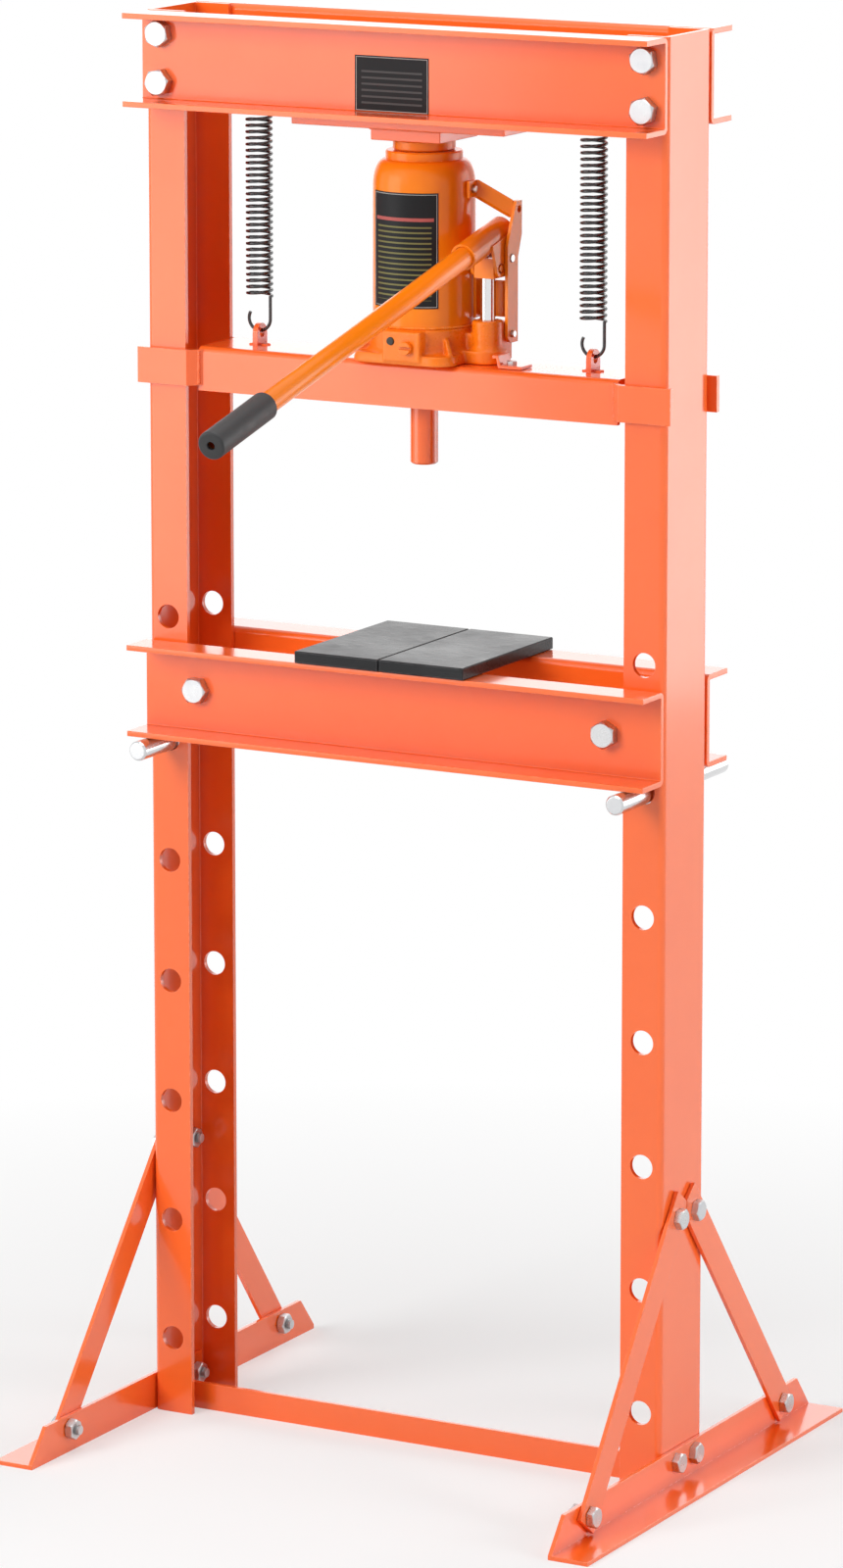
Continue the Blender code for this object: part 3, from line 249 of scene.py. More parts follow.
plateSteel = makeFinish(
    "plateSteel", colour=(0.030, 0.031, 0.032), broadColour=(0.018, 0.018, 0.019),
    edgeColour=(0.20, 0.20, 0.21), cornerColour=(0.012, 0.012, 0.012), edgeAmount=0.6, edgeWidth=0.0012,
    edgeCover=0.9, specular=0.14,
    roughness=0.30, roughSpread=0.14, stretch=(0.06, 1, 1), fineScale=900, broadScale=9, grainDepth=0.00002,
)
springSteel = makeFinish(
    "springSteel", colour=(0.010, 0.010, 0.011), broadColour=(0.018, 0.018, 0.020), roughness=0.24,
    roughSpread=0.14, coat=0.5, coatRoughness=0.1, fineScale=1200, broadScale=120, grainDepth=0.00002,
)
gripRubber = makeFinish(
    "gripRubber", colour=(0.016, 0.016, 0.017), broadColour=(0.026, 0.026, 0.027),
    edgeColour=(0.06, 0.06, 0.06), roughness=0.50, roughSpread=0.18, fineScale=1100, broadScale=40,
    grainDepth=0.00006,
)
plugRubber = makeFinish(
    "plugRubber", colour=(0.03, 0.03, 0.03), broadColour=(0.045, 0.04, 0.035), roughness=0.6, roughSpread=0.2,
    fineScale=1500, broadScale=90, grainDepth=0.00003,
)
print("finishes made")


# mesh helpers

def newMesh(name, shape):
    bmesh.ops.remove_doubles(shape, verts=shape.verts, dist=0.000002)
    bmesh.ops.recalc_face_normals(shape, faces=shape.faces)
    mesh = bpy.data.meshes.new(name)
    shape.to_mesh(mesh)
    shape.free()
    return mesh


def evaluated(thing):
    bpy.context.view_layer.update()
    graph = bpy.context.evaluated_depsgraph_get()
    mesh = bpy.data.meshes.new_from_object(thing.evaluated_get(graph))
    bpy.data.objects.remove(thing, do_unlink=True)
    return mesh


def linked(name, data):
    thing = bpy.data.objects.new(name, data)
    bpy.context.scene.collection.objects.link(thing)
    return thing


def prism(outline, place, low, high):
    # place turns (across, rise, reach) into a point of the press
    shape = bmesh.new()
    rings = []
    for reach in (low, high):
        rings.append([shape.verts.new(place(across, rise, reach)) for across, rise in outline])
    shape.faces.new(rings[0])
    shape.faces.new(reversed(rings[1]))
    for i in range(len(outline)):
        j = (i + 1) % len(outline)
        shape.faces.new((rings[0][j], rings[0][i], rings[1][i], rings[1][j]))
    return newMesh("prism", shape)


def block(low, high):
    shape = bmesh.new()
    low, high = Vector(low), Vector(high)
    place = Matrix.Translation((low + high) / 2) @ Matrix.Diagonal((*(high - low), 1))
    bmesh.ops.create_cube(shape, size=1, matrix=place)
    return newMesh("block", shape)


def along(start, end):
    # a matrix whose Z runs from start to end
    start, end = Vector(start), Vector(end)
    return Matrix.Translation(start) @ (end - start).to_track_quat("Z", "Y").to_matrix().to_4x4()


def lathe(profile, place, steps=56):
    # profile is (radius, height) from one end to the other
    shape = bmesh.new()
    points = [shape.verts.new((radius, 0, height)) for radius, height in profile]
    edges = [shape.edges.new(pair) for pair in zip(points, points[1:])]
    bmesh.ops.spin(shape, geom=points + edges, axis=(0, 0, 1), cent=(0, 0, 0), steps=steps, angle=2 * math.pi)
    bmesh.ops.remove_doubles(shape, verts=shape.verts, dist=0.000002)
    bmesh.ops.transform(shape, matrix=place, verts=shape.verts)
    return newMesh("lathe", shape)


def rod(start, end, diameter, steps=48):
    length = (Vector(end) - Vector(start)).length
    return lathe([(0, 0), (diameter / 2, 0), (diameter / 2, length), (0, length)], along(start, end), steps)


def worked(mesh, *steps):
    # each step is ("UNION" or "DIFFERENCE", mesh)
    thing = linked("worked", mesh)
    tools = []
    for operation, other in steps:
        tool = linked("tool", other)
        tools.append(tool)
        cut = thing.modifiers.new("step", "BOOLEAN")
        cut.operation, cut.object, cut.solver = operation, tool, "EXACT"
    result = evaluated(thing)
    for tool in tools:
        bpy.data.objects.remove(tool, do_unlink=True)
    return result


def cleaned(mesh):
    # the same shape with its flat faces whole again and no stored normals
    shape = bmesh.new()
    shape.from_mesh(mesh)
    bmesh.ops.remove_doubles(shape, verts=shape.verts, dist=0.000004)
    bmesh.ops.dissolve_degenerate(shape, edges=shape.edges, dist=0.000004)
    bmesh.ops.dissolve_limit(shape, angle_limit=math.radians(0.7), verts=shape.verts, edges=shape.edges)
    shape.verts.index_update()
    points = [v.co.copy() for v in shape.verts]
    faces = [[v.index for v in f.verts] for f in shape.faces]
    shape.free()
    result = bpy.data.meshes.new("cleaned")
    result.from_pydata(points, [], faces)
    return result


def softened(mesh, width, segments=2, limit=32):
    mesh = cleaned(mesh)
    mesh.shade_smooth()
    thing = linked("softened", mesh)
    edge = thing.modifiers.new("edge", "BEVEL")
    edge.width, edge.segments = width, segments
    edge.limit_method, edge.angle_limit = "ANGLE", math.radians(limit)
    flat = thing.modifiers.new("flat", "WEIGHTED_NORMAL")
    flat.weight, flat.keep_sharp = 100, True
    return evaluated(thing)


def smoothed(mesh, angle=35):
    mesh.shade_smooth()
    mesh.set_sharp_from_angle(angle=math.radians(angle))
    return mesh


def addPiece(name, mesh, material, body, slot=None, *replaced):
    piece = linked(name, mesh)
    mesh.name = name
    mesh.materials.clear()
    mesh.materials.append(material)
    for face in mesh.polygons:
        face.material_index = 0
    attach(piece, body)
    if replaced:
        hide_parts(*replaced)
    return piece


def nodeCopy(node):
    return nodes[node].data.copy()


def arc(centre, radius, first, last, steps):
    angles = [math.radians(first + (last - first) * i / steps) for i in range(steps + 1)]
    return [(centre[0] + radius * math.cos(a), centre[1] + radius * math.sin(a)) for a in angles]


def middle(node):
    low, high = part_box(node)
    return (low + high) / 2


# geometry node trees for what repeats

def runTree(source, tree, values):
    # gives the object the tree, sets its inputs by their identifiers and returns the plain mesh
    modifier = source.modifiers.new("tree", "NODES")
    modifier.node_group = tree
    for item in tree.interface.items_tree:
        if item.item_type == "SOCKET" and item.in_out == "INPUT" and item.name in values:
            modifier[item.identifier] = values[item.name]
    return evaluated(source)


def makeHexBody():
    # a hexagon with its corners turned off, standing on z = 0
    inputs = [("Flats", floatType, 0.02), ("Height", floatType, 0.01), ("Both Ends", floatType, 0.0)]
    tree, start, end = newGroup("hexBody", "GeometryNodeTree", inputs, [("Geometry", shapeType)])
    feeds = {"Vertices": 48, "Side Segments": 12, "Fill Segments": 2, "Radius": 1.0, "Depth": 1.0}
    blank = put(tree, "GeometryNodeMeshCylinder", feeds).outputs["Mesh"]
    place = put(tree, "GeometryNodeInputPosition").outputs[0]
    x, y, z = put(tree, "ShaderNodeSeparateXYZ", {0: place}).outputs
    angle = calc(tree, "ARCTAN2", y, x)
    radial = calc(tree, "SQRT", calc(tree, "ADD", calc(tree, "MULTIPLY", x, x), calc(tree, "MULTIPLY", y, y)))
    turned = calc(tree, "FLOORED_MODULO", calc(tree, "ADD", angle, math.pi / 6), math.pi / 3)
    half = calc(tree, "MULTIPLY", start.outputs["Flats"], 0.5)
    flatEdge = calc(tree, "DIVIDE", half, calc(tree, "COSINE", calc(tree, "SUBTRACT", turned, math.pi / 6)))
    height = start.outputs["Height"]
    rise = calc(tree, "MULTIPLY", calc(tree, "ADD", z, 0.5), height)
    rim = calc(tree, "MULTIPLY", half, 0.95)
    topEdge = calc(tree, "MULTIPLY_ADD", calc(tree, "SUBTRACT", height, rise), 1.7, rim)
    lowEdge = calc(tree, "MULTIPLY_ADD", rise, 1.7, rim)
    lowEdge = calc(tree, "ADD", lowEdge, calc(tree, "SUBTRACT", 1.0, start.outputs["Both Ends"]))
    reach = calc(tree, "MINIMUM", calc(tree, "MINIMUM", flatEdge, topEdge), lowEdge)
    reach = calc(tree, "MULTIPLY", reach, radial)
    feeds = {"X": calc(tree, "MULTIPLY", calc(tree, "COSINE", angle), reach),
             "Y": calc(tree, "MULTIPLY", calc(tree, "SINE", angle), reach), "Z": rise}
    moved = put(tree, "ShaderNodeCombineXYZ", feeds).outputs[0]
    result = put(tree, "GeometryNodeSetPosition", {"Geometry": blank, "Position": moved}).outputs[0]
    tree.links.new(result, end.inputs["Geometry"])
    return tree


hexBody = makeHexBody()


def makeHexFasteners():
    # a bolt with its nut at each point, its head facing the point's "outwards"
    inputs = [("Geometry", shapeType, None), ("Flats", floatType, 0.017), ("Head Height", floatType, 0.0065),
              ("Nut Height", floatType, 0.008), ("Grip", floatType, 0.02), ("Tail", floatType, 0.004),
              ("Thread Diameter", floatType, 0.010), ("Thread Pitch", floatType, 0.0015),
              ("Washer Diameter", floatType, 0.020), ("Washer Thickness", floatType, 0.0),
              ("Seed", "NodeSocketInt", 1), ("Finish", materialType, None)]
    tree, start, end = newGroup("hexFasteners", "GeometryNodeTree", inputs, [("Geometry", shapeType)])
    flats, grip, nut, tail = (start.outputs[k] for k in ("Flats", "Grip", "Nut Height", "Tail"))
    washer, pitch = start.outputs["Washer Thickness"], start.outputs["Thread Pitch"]
    thread = calc(tree, "MULTIPLY", start.outputs["Thread Diameter"], 0.5)

    def lifted(shape, height):
        offset = put(tree, "ShaderNodeCombineXYZ", {"Z": height}).outputs[0]
        return put(tree, "GeometryNodeTransform", {"Geometry": shape, "Translation": offset}).outputs[0]

    head = useGroup(tree, hexBody, {"Flats": flats, "Height": start.outputs["Head Height"]}).outputs[0]
    collar = useGroup(tree, hexBody, {"Flats": flats, "Height": nut, "Both Ends": 1.0}).outputs[0]
    nutFace = calc(tree, "MULTIPLY", calc(tree, "ADD", grip, washer), -1.0)
    nutEnd = calc(tree, "SUBTRACT", nutFace, nut)
    tailEnd = calc(tree, "SUBTRACT", nutEnd, tail)
    core = calc(tree, "MULTIPLY_ADD", pitch, -0.5, thread)
    length = calc(tree, "ADD", calc(tree, "MULTIPLY", tailEnd, -1.0), 0.001)
    feeds = {"Vertices": 24, "Radius": core, "Depth": length}
    shank = put(tree, "GeometryNodeMeshCylinder", feeds).outputs["Mesh"]
    shank = lifted(shank, calc(tree, "MULTIPLY_ADD", length, 0.5, tailEnd))
    ringRadius = calc(tree, "MULTIPLY", start.outputs["Washer Diameter"], 0.5)
    feeds = {"Vertices": 32, "Radius": ringRadius, "Depth": washer}
    ring = put(tree, "GeometryNodeMeshCylinder", feeds).outputs["Mesh"]
    headRing = lifted(ring, calc(tree, "MULTIPLY", washer, 0.5))
    nutRing = lifted(ring, calc(tree, "MULTIPLY_ADD", washer, 0.5, nutFace))
    run = calc(tree, "ADD", tail, calc(tree, "MULTIPLY", nut, 0.4))
    ridge = calc(tree, "MULTIPLY_ADD", pitch, -0.45, thread)
    feeds = {"Resolution": 16, "Rotations": calc(tree, "DIVIDE", run, pitch), "Start Radius": ridge,
             "End Radius": ridge, "Height": run}
    helix = put(tree, "GeometryNodeCurveSpiral", feeds).outputs[0]
    tooth = put(tree, "GeometryNodeCurvePrimitiveCircle", {"Resolution": 3}).outputs["Curve"]
    scale = calc(tree, "MULTIPLY", pitch, 0.45)
    size = put(tree, "ShaderNodeCombineXYZ", {"X": scale, "Y": scale, "Z": scale}).outputs[0]
    tooth = put(tree, "GeometryNodeTransform", {"Geometry": tooth, "Scale": size}).outputs[0]
    feeds = {"Curve": helix, "Profile Curve": tooth, "Fill Caps": True}
    teeth = lifted(put(tree, "GeometryNodeCurveToMesh", feeds).outputs[0], calc(tree, "ADD", tailEnd, 0.0005))
    whole = put(tree, "GeometryNodeJoinGeometry")
    hasWasher = calc(tree, "GREATER_THAN", washer, 0.00001)
    rings = put(tree, "GeometryNodeJoinGeometry")
    for shape in (headRing, nutRing):
        tree.links.new(shape, rings.inputs[0])
    feeds = {"Switch": hasWasher, "True": rings.outputs[0]}
    switch = put(tree, "GeometryNodeSwitch", feeds, input_type="GEOMETRY")
    for shape in (lifted(head, washer), lifted(collar, nutEnd), shank, teeth, switch.outputs[0]):
        tree.links.new(shape, whole.inputs[0])
    outwards = put(tree, "GeometryNodeInputNamedAttribute", {"Name": "outwards"}, data_type="FLOAT_VECTOR")
    feeds = {"Vector": outwards.outputs["Attribute"]}
    facing = put(tree, "FunctionNodeAlignRotationToVector", feeds, axis="Z")
    feeds = {"Seed": start.outputs["Seed"]}
    chance = put(tree, "FunctionNodeRandomValue", feeds, data_type="FLOAT").outputs[1]
    turn = put(tree, "ShaderNodeCombineXYZ", {"Z": chance}).outputs[0]
    turn = put(tree, "FunctionNodeEulerToRotation", {0: turn}).outputs[0]
    feeds = {"Rotation": facing.outputs[0], "Rotate By": turn}
    facing = put(tree, "FunctionNodeRotateRotation", feeds, rotation_space="LOCAL").outputs[0]
    feeds = {"Points": start.outputs["Geometry"], "Instance": whole.outputs[0], "Rotation": facing}
    bolts = put(tree, "GeometryNodeInstanceOnPoints", feeds).outputs[0]
    solid = put(tree, "GeometryNodeRealizeInstances", {0: bolts}).outputs[0]
    feeds = {"Geometry": solid, "Material": start.outputs["Finish"]}
    tree.links.new(put(tree, "GeometryNodeSetMaterial", feeds).outputs[0], end.inputs["Geometry"])
    return tree


hexFasteners = makeHexFasteners()


def makeWireSweep():
    inputs = [("Geometry", shapeType, None), ("Wire Diameter", floatType, 0.003),
              ("Sides", "NodeSocketInt", 10), ("Finish", materialType, None)]
    tree, start, end = newGroup("wireSweep", "GeometryNodeTree", inputs, [("Geometry", shapeType)])
    feeds = {"Resolution": start.outputs["Sides"],
             "Radius": calc(tree, "MULTIPLY", start.outputs["Wire Diameter"], 0.5)}
    ring = put(tree, "GeometryNodeCurvePrimitiveCircle", feeds).outputs["Curve"]
    feeds = {"Curve": start.outputs["Geometry"], "Profile Curve": ring, "Fill Caps": True}
    wire = put(tree, "GeometryNodeCurveToMesh", feeds).outputs[0]
    solid = put(tree, "GeometryNodeRealizeInstances", {0: wire}).outputs[0]
    feeds = {"Geometry": solid, "Material": start.outputs["Finish"]}
    tree.links.new(put(tree, "GeometryNodeSetMaterial", feeds).outputs[0], end.inputs["Geometry"])
    return tree


wireSweep = makeWireSweep()


def makeWeldBead():
    inputs = [("Geometry", shapeType, None), ("Bead Radius", floatType, 0.0022),
              ("Ripple", floatType, 0.0018), ("Finish", materialType, None)]
    tree, start, end = newGroup("weldBead", "GeometryNodeTree", inputs, [("Geometry", shapeType)])
    radius, ripple = start.outputs["Bead Radius"], start.outputs["Ripple"]
    feeds = {"Curve": start.outputs["Geometry"], "Length": ripple}
    stops = put(tree, "GeometryNodeResampleCurve", feeds, mode="LENGTH").outputs[0]
    drop = put(tree, "GeometryNodeMeshUVSphere", {"Segments": 8, "Rings": 6, "Radius": 1.0}).outputs["Mesh"]
    size = put(tree, "ShaderNodeCombineXYZ", {"X": ripple, "Y": radius, "Z": radius}).outputs[0]
    drop = put(tree, "GeometryNodeTransform", {"Geometry": drop, "Scale": size}).outputs[0]
    heading = put(tree, "GeometryNodeInputTangent").outputs[0]
    facing = put(tree, "FunctionNodeAlignRotationToVector", {"Vector": heading}, axis="X").outputs[0]
    # on a float random value node the sockets 2 and 3 are the least and the most
    chance = put(tree, "FunctionNodeRandomValue", {2: 0.85, 3: 1.1, "Seed": 3}, data_type="FLOAT")
    feeds = {"Points": stops, "Instance": drop, "Rotation": facing, "Scale": chance.outputs[1]}
    drops = put(tree, "GeometryNodeInstanceOnPoints", feeds).outputs[0]
    solid = put(tree, "GeometryNodeRealizeInstances", {0: drops}).outputs[0]
    feeds = {"Geometry": solid, "Material": start.outputs["Finish"]}
    tree.links.new(put(tree, "GeometryNodeSetMaterial", feeds).outputs[0], end.inputs["Geometry"])
    return tree


weldBead = makeWeldBead()


def makePunchedMember():
    # cuts a row of round holes right through a member, along its length
    inputs = [("Geometry", shapeType, None), ("Hole Diameter", floatType, 0.022),
              ("Hole Count", "NodeSocketInt", 7), ("Hole Pitch", floatType, 0.113),
              ("First Hole", vectorType, (0, 0, 0.071)), ("Depth", floatType, 0.12),
              ("Finish", materialType, None)]
    tree, start, end = newGroup("punchedMember", "GeometryNodeTree", inputs, [("Geometry", shapeType)])
    step = put(tree, "ShaderNodeCombineXYZ", {"Z": start.outputs["Hole Pitch"]}).outputs[0]
    feeds = {"Count": start.outputs["Hole Count"], "Start Location": start.outputs["First Hole"],
             "Offset": step}
    row = put(tree, "GeometryNodeMeshLine", feeds, mode="OFFSET").outputs[0]
    feeds = {"Vertices": 48, "Radius": calc(tree, "MULTIPLY", start.outputs["Hole Diameter"], 0.5),
             "Depth": start.outputs["Depth"]}
    punch = put(tree, "GeometryNodeMeshCylinder", feeds).outputs["Mesh"]
    turned = {"Geometry": punch, "Rotation": (math.pi / 2, 0, 0)}
    punch = put(tree, "GeometryNodeTransform", turned).outputs[0]
    punches = put(tree, "GeometryNodeInstanceOnPoints", {"Points": row, "Instance": punch}).outputs[0]
    punches = put(tree, "GeometryNodeRealizeInstances", {0: punches}).outputs[0]
    cut = put(tree, "GeometryNodeMeshBoolean", operation="DIFFERENCE", solver="EXACT")
    tree.links.new(start.outputs["Geometry"], cut.inputs[0])
    tree.links.new(punches, cut.inputs[1])
    feeds = {"Geometry": cut.outputs[0], "Material": start.outputs["Finish"]}
    tree.links.new(put(tree, "GeometryNodeSetMaterial", feeds).outputs[0], end.inputs["Geometry"])
    return tree


punchedMember = makePunchedMember()
print("trees made")


def polyCurve(name, paths):
    curve = bpy.data.curves.new(name, "CURVE")
    curve.dimensions = "3D"
    for path in paths:
        line = curve.splines.new("POLY")
        line.points.add(len(path) - 1)
        for point, place in zip(line.points, path):
            point.co = (*place, 1)
    return linked(name, curve)


def addWelds(name, body, paths, radius, material=None, slot="frame_paint"):
    material = material or framePaint
    values = {"Bead Radius": radius, "Ripple": radius * 0.8, "Finish": material}
    mesh = smoothed(runTree(polyCurve(name, paths), weldBead, values), 60)
    return addPiece(name, mesh, material, body, slot)


# frame

channel = {"wall": 0.005, "bend": 0.006, "innerBend": 0.001, "edge": 0.0005}
uprightHoles = {"diameter": 0.022, "count": 7, "pitch": 0.113, "first": 0.071, "inset": 0.020}


def channelOutline(depth, flange):
    wall, bend, inner = channel["wall"], channel["bend"], channel["innerBend"]
    half = depth / 2
    return (
        arc((half - bend, bend), bend, -90, 0, 6)
        + [(half, flange), (half - wall, flange)]
        + arc((half - wall - inner, wall + inner), inner, 0, -90, 3)
        + arc((-half + wall + inner, wall + inner), inner, 270, 180, 3)
        + [(-half + wall, flange), (-half, flange)]
        + arc((-half + bend, bend), bend, 180, 270, 6)
    )


def drilled(mesh, axis, places, diameter, reach=0.08):
    step = {"x": Vector((reach, 0, 0)), "y": Vector((0, reach, 0)), "z": Vector((0, 0, reach))}[axis]
    cuts = [("DIFFERENCE", rod(Vector(p) - step, Vector(p) + step, diameter, 32)) for p in places]
    return worked(mesh, *cuts)


def makeUprights():
    for label, side, sign in sidesOfPress:
        low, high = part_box("upright_" + side)
        outer = max(abs(low.x), abs(high.x))
        outline = channelOutline(high.y - low.y, high.x - low.x)
        mesh = prism(outline, lambda a, r, t: (sign * (outer - r), a, t), low.z, high.z)
        source = linked("uprightBlank", mesh)
        values = {
            "Hole Diameter": uprightHoles["diameter"], "Hole Count": uprightHoles["count"],
            "Hole Pitch": uprightHoles["pitch"], "Depth": 2 * (high.y - low.y), "Finish": framePaint,
            "First Hole": (sign * (outer - uprightHoles["inset"]), 0, uprightHoles["first"]),
        }
        mesh = softened(runTree(source, punchedMember, values), channel["edge"])
        addPiece("upright" + label, mesh, framePaint, "frame", "frame_paint", "upright_" + side)


def makeCrossBeams():
    for kind, body in (("top", "frame"), ("bed", "bed")):
        for label, end, way in endsOfPress:
            node = f"{kind}_beam_{end}"
            low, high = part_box(node)
            face = min(abs(low.y), abs(high.y))
            outline = channelOutline(high.z - low.z, high.y - low.y)
            mid = (low.z + high.z) / 2
            mesh = prism(outline, lambda a, r, t: (t, way * (face + r), mid + a), low.x, high.x)
            mesh = softened(mesh, channel["edge"])
            addPiece(f"{kind}Beam{label}", mesh, framePaint, body, "frame_paint", node)


flatParts = {"edge": 0.0006, "braceEdge": 0.0007, "plateEdge": 0.0010, "smallEdge": 0.0005,
             "blockWeld": 0.0018, "weldSunk": 0.0005}


def makeFlatParts():
    for label, side, _ in sidesOfPress:
        mesh = softened(nodeCopy("foot_" + side), flatParts["edge"])
        addPiece("foot" + label, mesh, framePaint, "frame", "frame_paint", "foot_" + side)
        for otherLabel, end, _ in endsOfPress:
            node = f"brace_{side}_{end}"
            mesh = softened(nodeCopy(node), flatParts["braceEdge"])
            addPiece(f"brace{label}{otherLabel}", mesh, framePaint, "frame", "frame_paint", node)
        mesh = softened(nodeCopy("spring_hanger_" + side), flatParts["smallEdge"])
        addPiece("springHanger" + label, mesh, framePaint, "frame", "frame_paint", "spring_hanger_" + side)
        mesh = softened(nodeCopy("bed_spacer_" + side), flatParts["smallEdge"])
        addPiece("bedSpacer" + label, mesh, framePaint, "bed", "frame_paint", "bed_spacer_" + side)
    addPiece("baseCrossbar", softened(nodeCopy("base_crossbar"), flatParts["edge"]), framePaint, "frame",
             "frame_paint", "base_crossbar")
    for name, node in (("headPlate", "head_plate"), ("headBlock", "head_block")):
        mesh = softened(nodeCopy(node), flatParts["plateEdge"])
        addPiece(name, mesh, framePaint, "frame", "frame_paint", node)
    low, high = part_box("head_block")
    ring = [(low.x, low.y), (high.x, low.y), (high.x, high.y), (low.x, high.y), (low.x, low.y)]
    path = [(x, y, high.z - flatParts["weldSunk"]) for x, y in ring]
    addWelds("headBlockWeld", "frame", [path], flatParts["blockWeld"])


makeUprights()
makeCrossBeams()
makeFlatParts()
print("frame made")


# fasteners

largeBolt = {"Flats": 0.022, "Head Height": 0.009, "Nut Height": 0.011, "Tail": 0.005,
             "Thread Diameter": 0.014, "Thread Pitch": 0.002}
smallBolt = {"Flats": 0.017, "Head Height": 0.0065, "Nut Height": 0.008, "Tail": 0.004,
             "Thread Diameter": 0.010, "Thread Pitch": 0.0015}


def boltRun(node, sizes, axis, sign):
    # the seat of the head and the grip under it, from the node's own ends
    low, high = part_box(node)
    seat, length = middle(node), high[axis] - low[axis]
    seat[axis] = (high if sign > 0 else low)[axis] - sign * sizes["Head Height"]
    outwards = Vector((0, 0, 0))
    outwards[axis] = sign
    grip = length - sizes["Head Height"] - sizes["Nut Height"] - sizes["Tail"]
    return seat, outwards, grip


def addFasteners(name, body, sizes, runs, seed):
    seats = [boltRun(node, sizes, axis, sign) for node, axis, sign in runs]
    mesh = bpy.data.meshes.new(name)
    mesh.from_pydata([seat for seat, _, _ in seats], [], [])
    facing = mesh.attributes.new("outwards", "FLOAT_VECTOR", "POINT")
    for i, (_, outwards, _) in enumerate(seats):
        facing.data[i].vector = outwards
    values = {**sizes, "Grip": seats[0][2], "Seed": seed, "Finish": zincPlate}
    mesh = smoothed(runTree(linked(name, mesh), hexFasteners, values), 28)
    addPiece(name, mesh, zincPlate, body, "zinc_plate", *[node for node, _, _ in runs])


def makeFasteners():
    sides, ends = (("left", -1), ("right", 1)), ("front", "rear")
    runs = [(f"top_bolt_{side}_{level}", 1, -1) for side, _ in sides for level in ("lower", "upper")]
    addFasteners("topBolts", "frame", largeBolt, runs, 4)
    addFasteners("bedBolts", "bed", largeBolt, [(f"bed_bolt_{side}", 1, -1) for side, _ in sides], 9)
    for name, node, seed in (("footBolts", "foot_bolt", 2), ("braceTopBolts", "brace_top_bolt", 7),
                             ("braceFootBolts", "brace_foot_bolt", 5)):
        runs = [(f"{node}_{side}_{end}", 0, sign) for side, sign in sides for end in ends]
        addFasteners(name, "frame", smallBolt, runs, seed)


makeFasteners()
print("fasteners made")


# springs

spring = {"wire": 0.003, "turns": 35, "pointsPerTurn": 28, "coilBottom": 1.042, "coilTop": 1.238,
          "hookSweep": 210, "lowLoop": 1.0219, "highLoop": 1.2621, "sides": 12}


def springPath(centre, radius):
    # a hook through the ear, the coil, and a hook over the hanger
    steps = spring["turns"] * spring["pointsPerTurn"]
    sweep = spring["hookSweep"]
    path = [(centre + a, 0, spring["lowLoop"] + r) for a, r in arc((0, 0), radius, 360 - sweep, 360, 22)]
    rise = (spring["coilTop"] - spring["coilBottom"]) / steps
    gapLow = spring["coilBottom"] - spring["lowLoop"]
    path += [(centre + radius, 0, spring["lowLoop"] + gapLow * i / 6) for i in range(1, 6)]
    for i in range(steps + 1):
        turn = 2 * math.pi * i / spring["pointsPerTurn"]
        height = spring["coilBottom"] + rise * i
        path.append((centre + radius * math.cos(turn), radius * math.sin(turn), height))
    gapHigh = spring["highLoop"] - spring["coilTop"]
    path += [(centre + radius, 0, spring["coilTop"] + gapHigh * i / 6) for i in range(1, 6)]
    path += [(centre + a, 0, spring["highLoop"] + r) for a, r in arc((0, 0), radius, 0, sweep, 22)]
    return path


def makeSprings():
    for label, side, _ in sidesOfPress:
        low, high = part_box("spring_" + side)
        centre, radius = (low.x + high.x) / 2, (high.x - low.x - spring["wire"]) / 2
        source = polyCurve("springPath", [springPath(centre, radius)])
        values = {"Wire Diameter": spring["wire"], "Sides": spring["sides"], "Finish": springSteel}
        mesh = smoothed(runTree(source, wireSweep, values), 60)
        piece = linked("spring" + label, mesh)
        mesh.materials.clear()
        mesh.materials.append(springSteel)
        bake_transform(piece)
        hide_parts("spring_" + side)


makeSprings()
print("springs made")


# moving beam with its press rod

beamParts = {"edge": 0.0008, "rodChamfer": 0.0015, "weld": 0.0020, "weldX": 0.2105, "weldY": 0.0387,
             "weldHeights": (0.9655, 0.994), "earX": 0.169, "earReach": 0.0085, "earHalfWidth": 0.0025,
             "earWeld": 0.0012, "top": 0.9982}


def makeMovingBeam():
    mesh = softened(nodeCopy("moving_beam"), beamParts["edge"])
    addPiece("movingBeam", mesh, framePaint, "moving_beam", "frame_paint", "moving_beam")
    low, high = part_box("press_rod")
    radius, c = (high.x - low.x) / 2, beamParts["rodChamfer"]
    profile = [(0, 0), (radius - c, 0), (radius, c), (radius, high.z - low.z), (0, high.z - low.z)]
    place = Matrix.Translation(((low.x + high.x) / 2, (low.y + high.y) / 2, low.z))
    mesh = softened(lathe(profile, place, 64), 0.0003)
    addPiece("pressRod", mesh, framePaint, "moving_beam", "frame_paint", "press_rod")


def makeBeamWelds():
    b = beamParts
    paths = []
    for way in (-1, 1):
        for sign in (-1, 1):
            paths.append([(sign * b["weldX"], way * b["weldY"], z) for z in b["weldHeights"]])
    addWelds("strapWelds", "moving_beam", paths, b["weld"])
    paths = []
    for sign in (-1, 1):
        for side in (-1, 1):
            ends = [sign * b["earX"] + end * b["earReach"] for end in (-1, 1)]
            paths.append([(x, side * b["earHalfWidth"], b["top"]) for x in ends])
    addWelds("earWelds", "moving_beam", paths, b["earWeld"])


makeMovingBeam()
makeBeamWelds()
print("moving beam made")


# jack

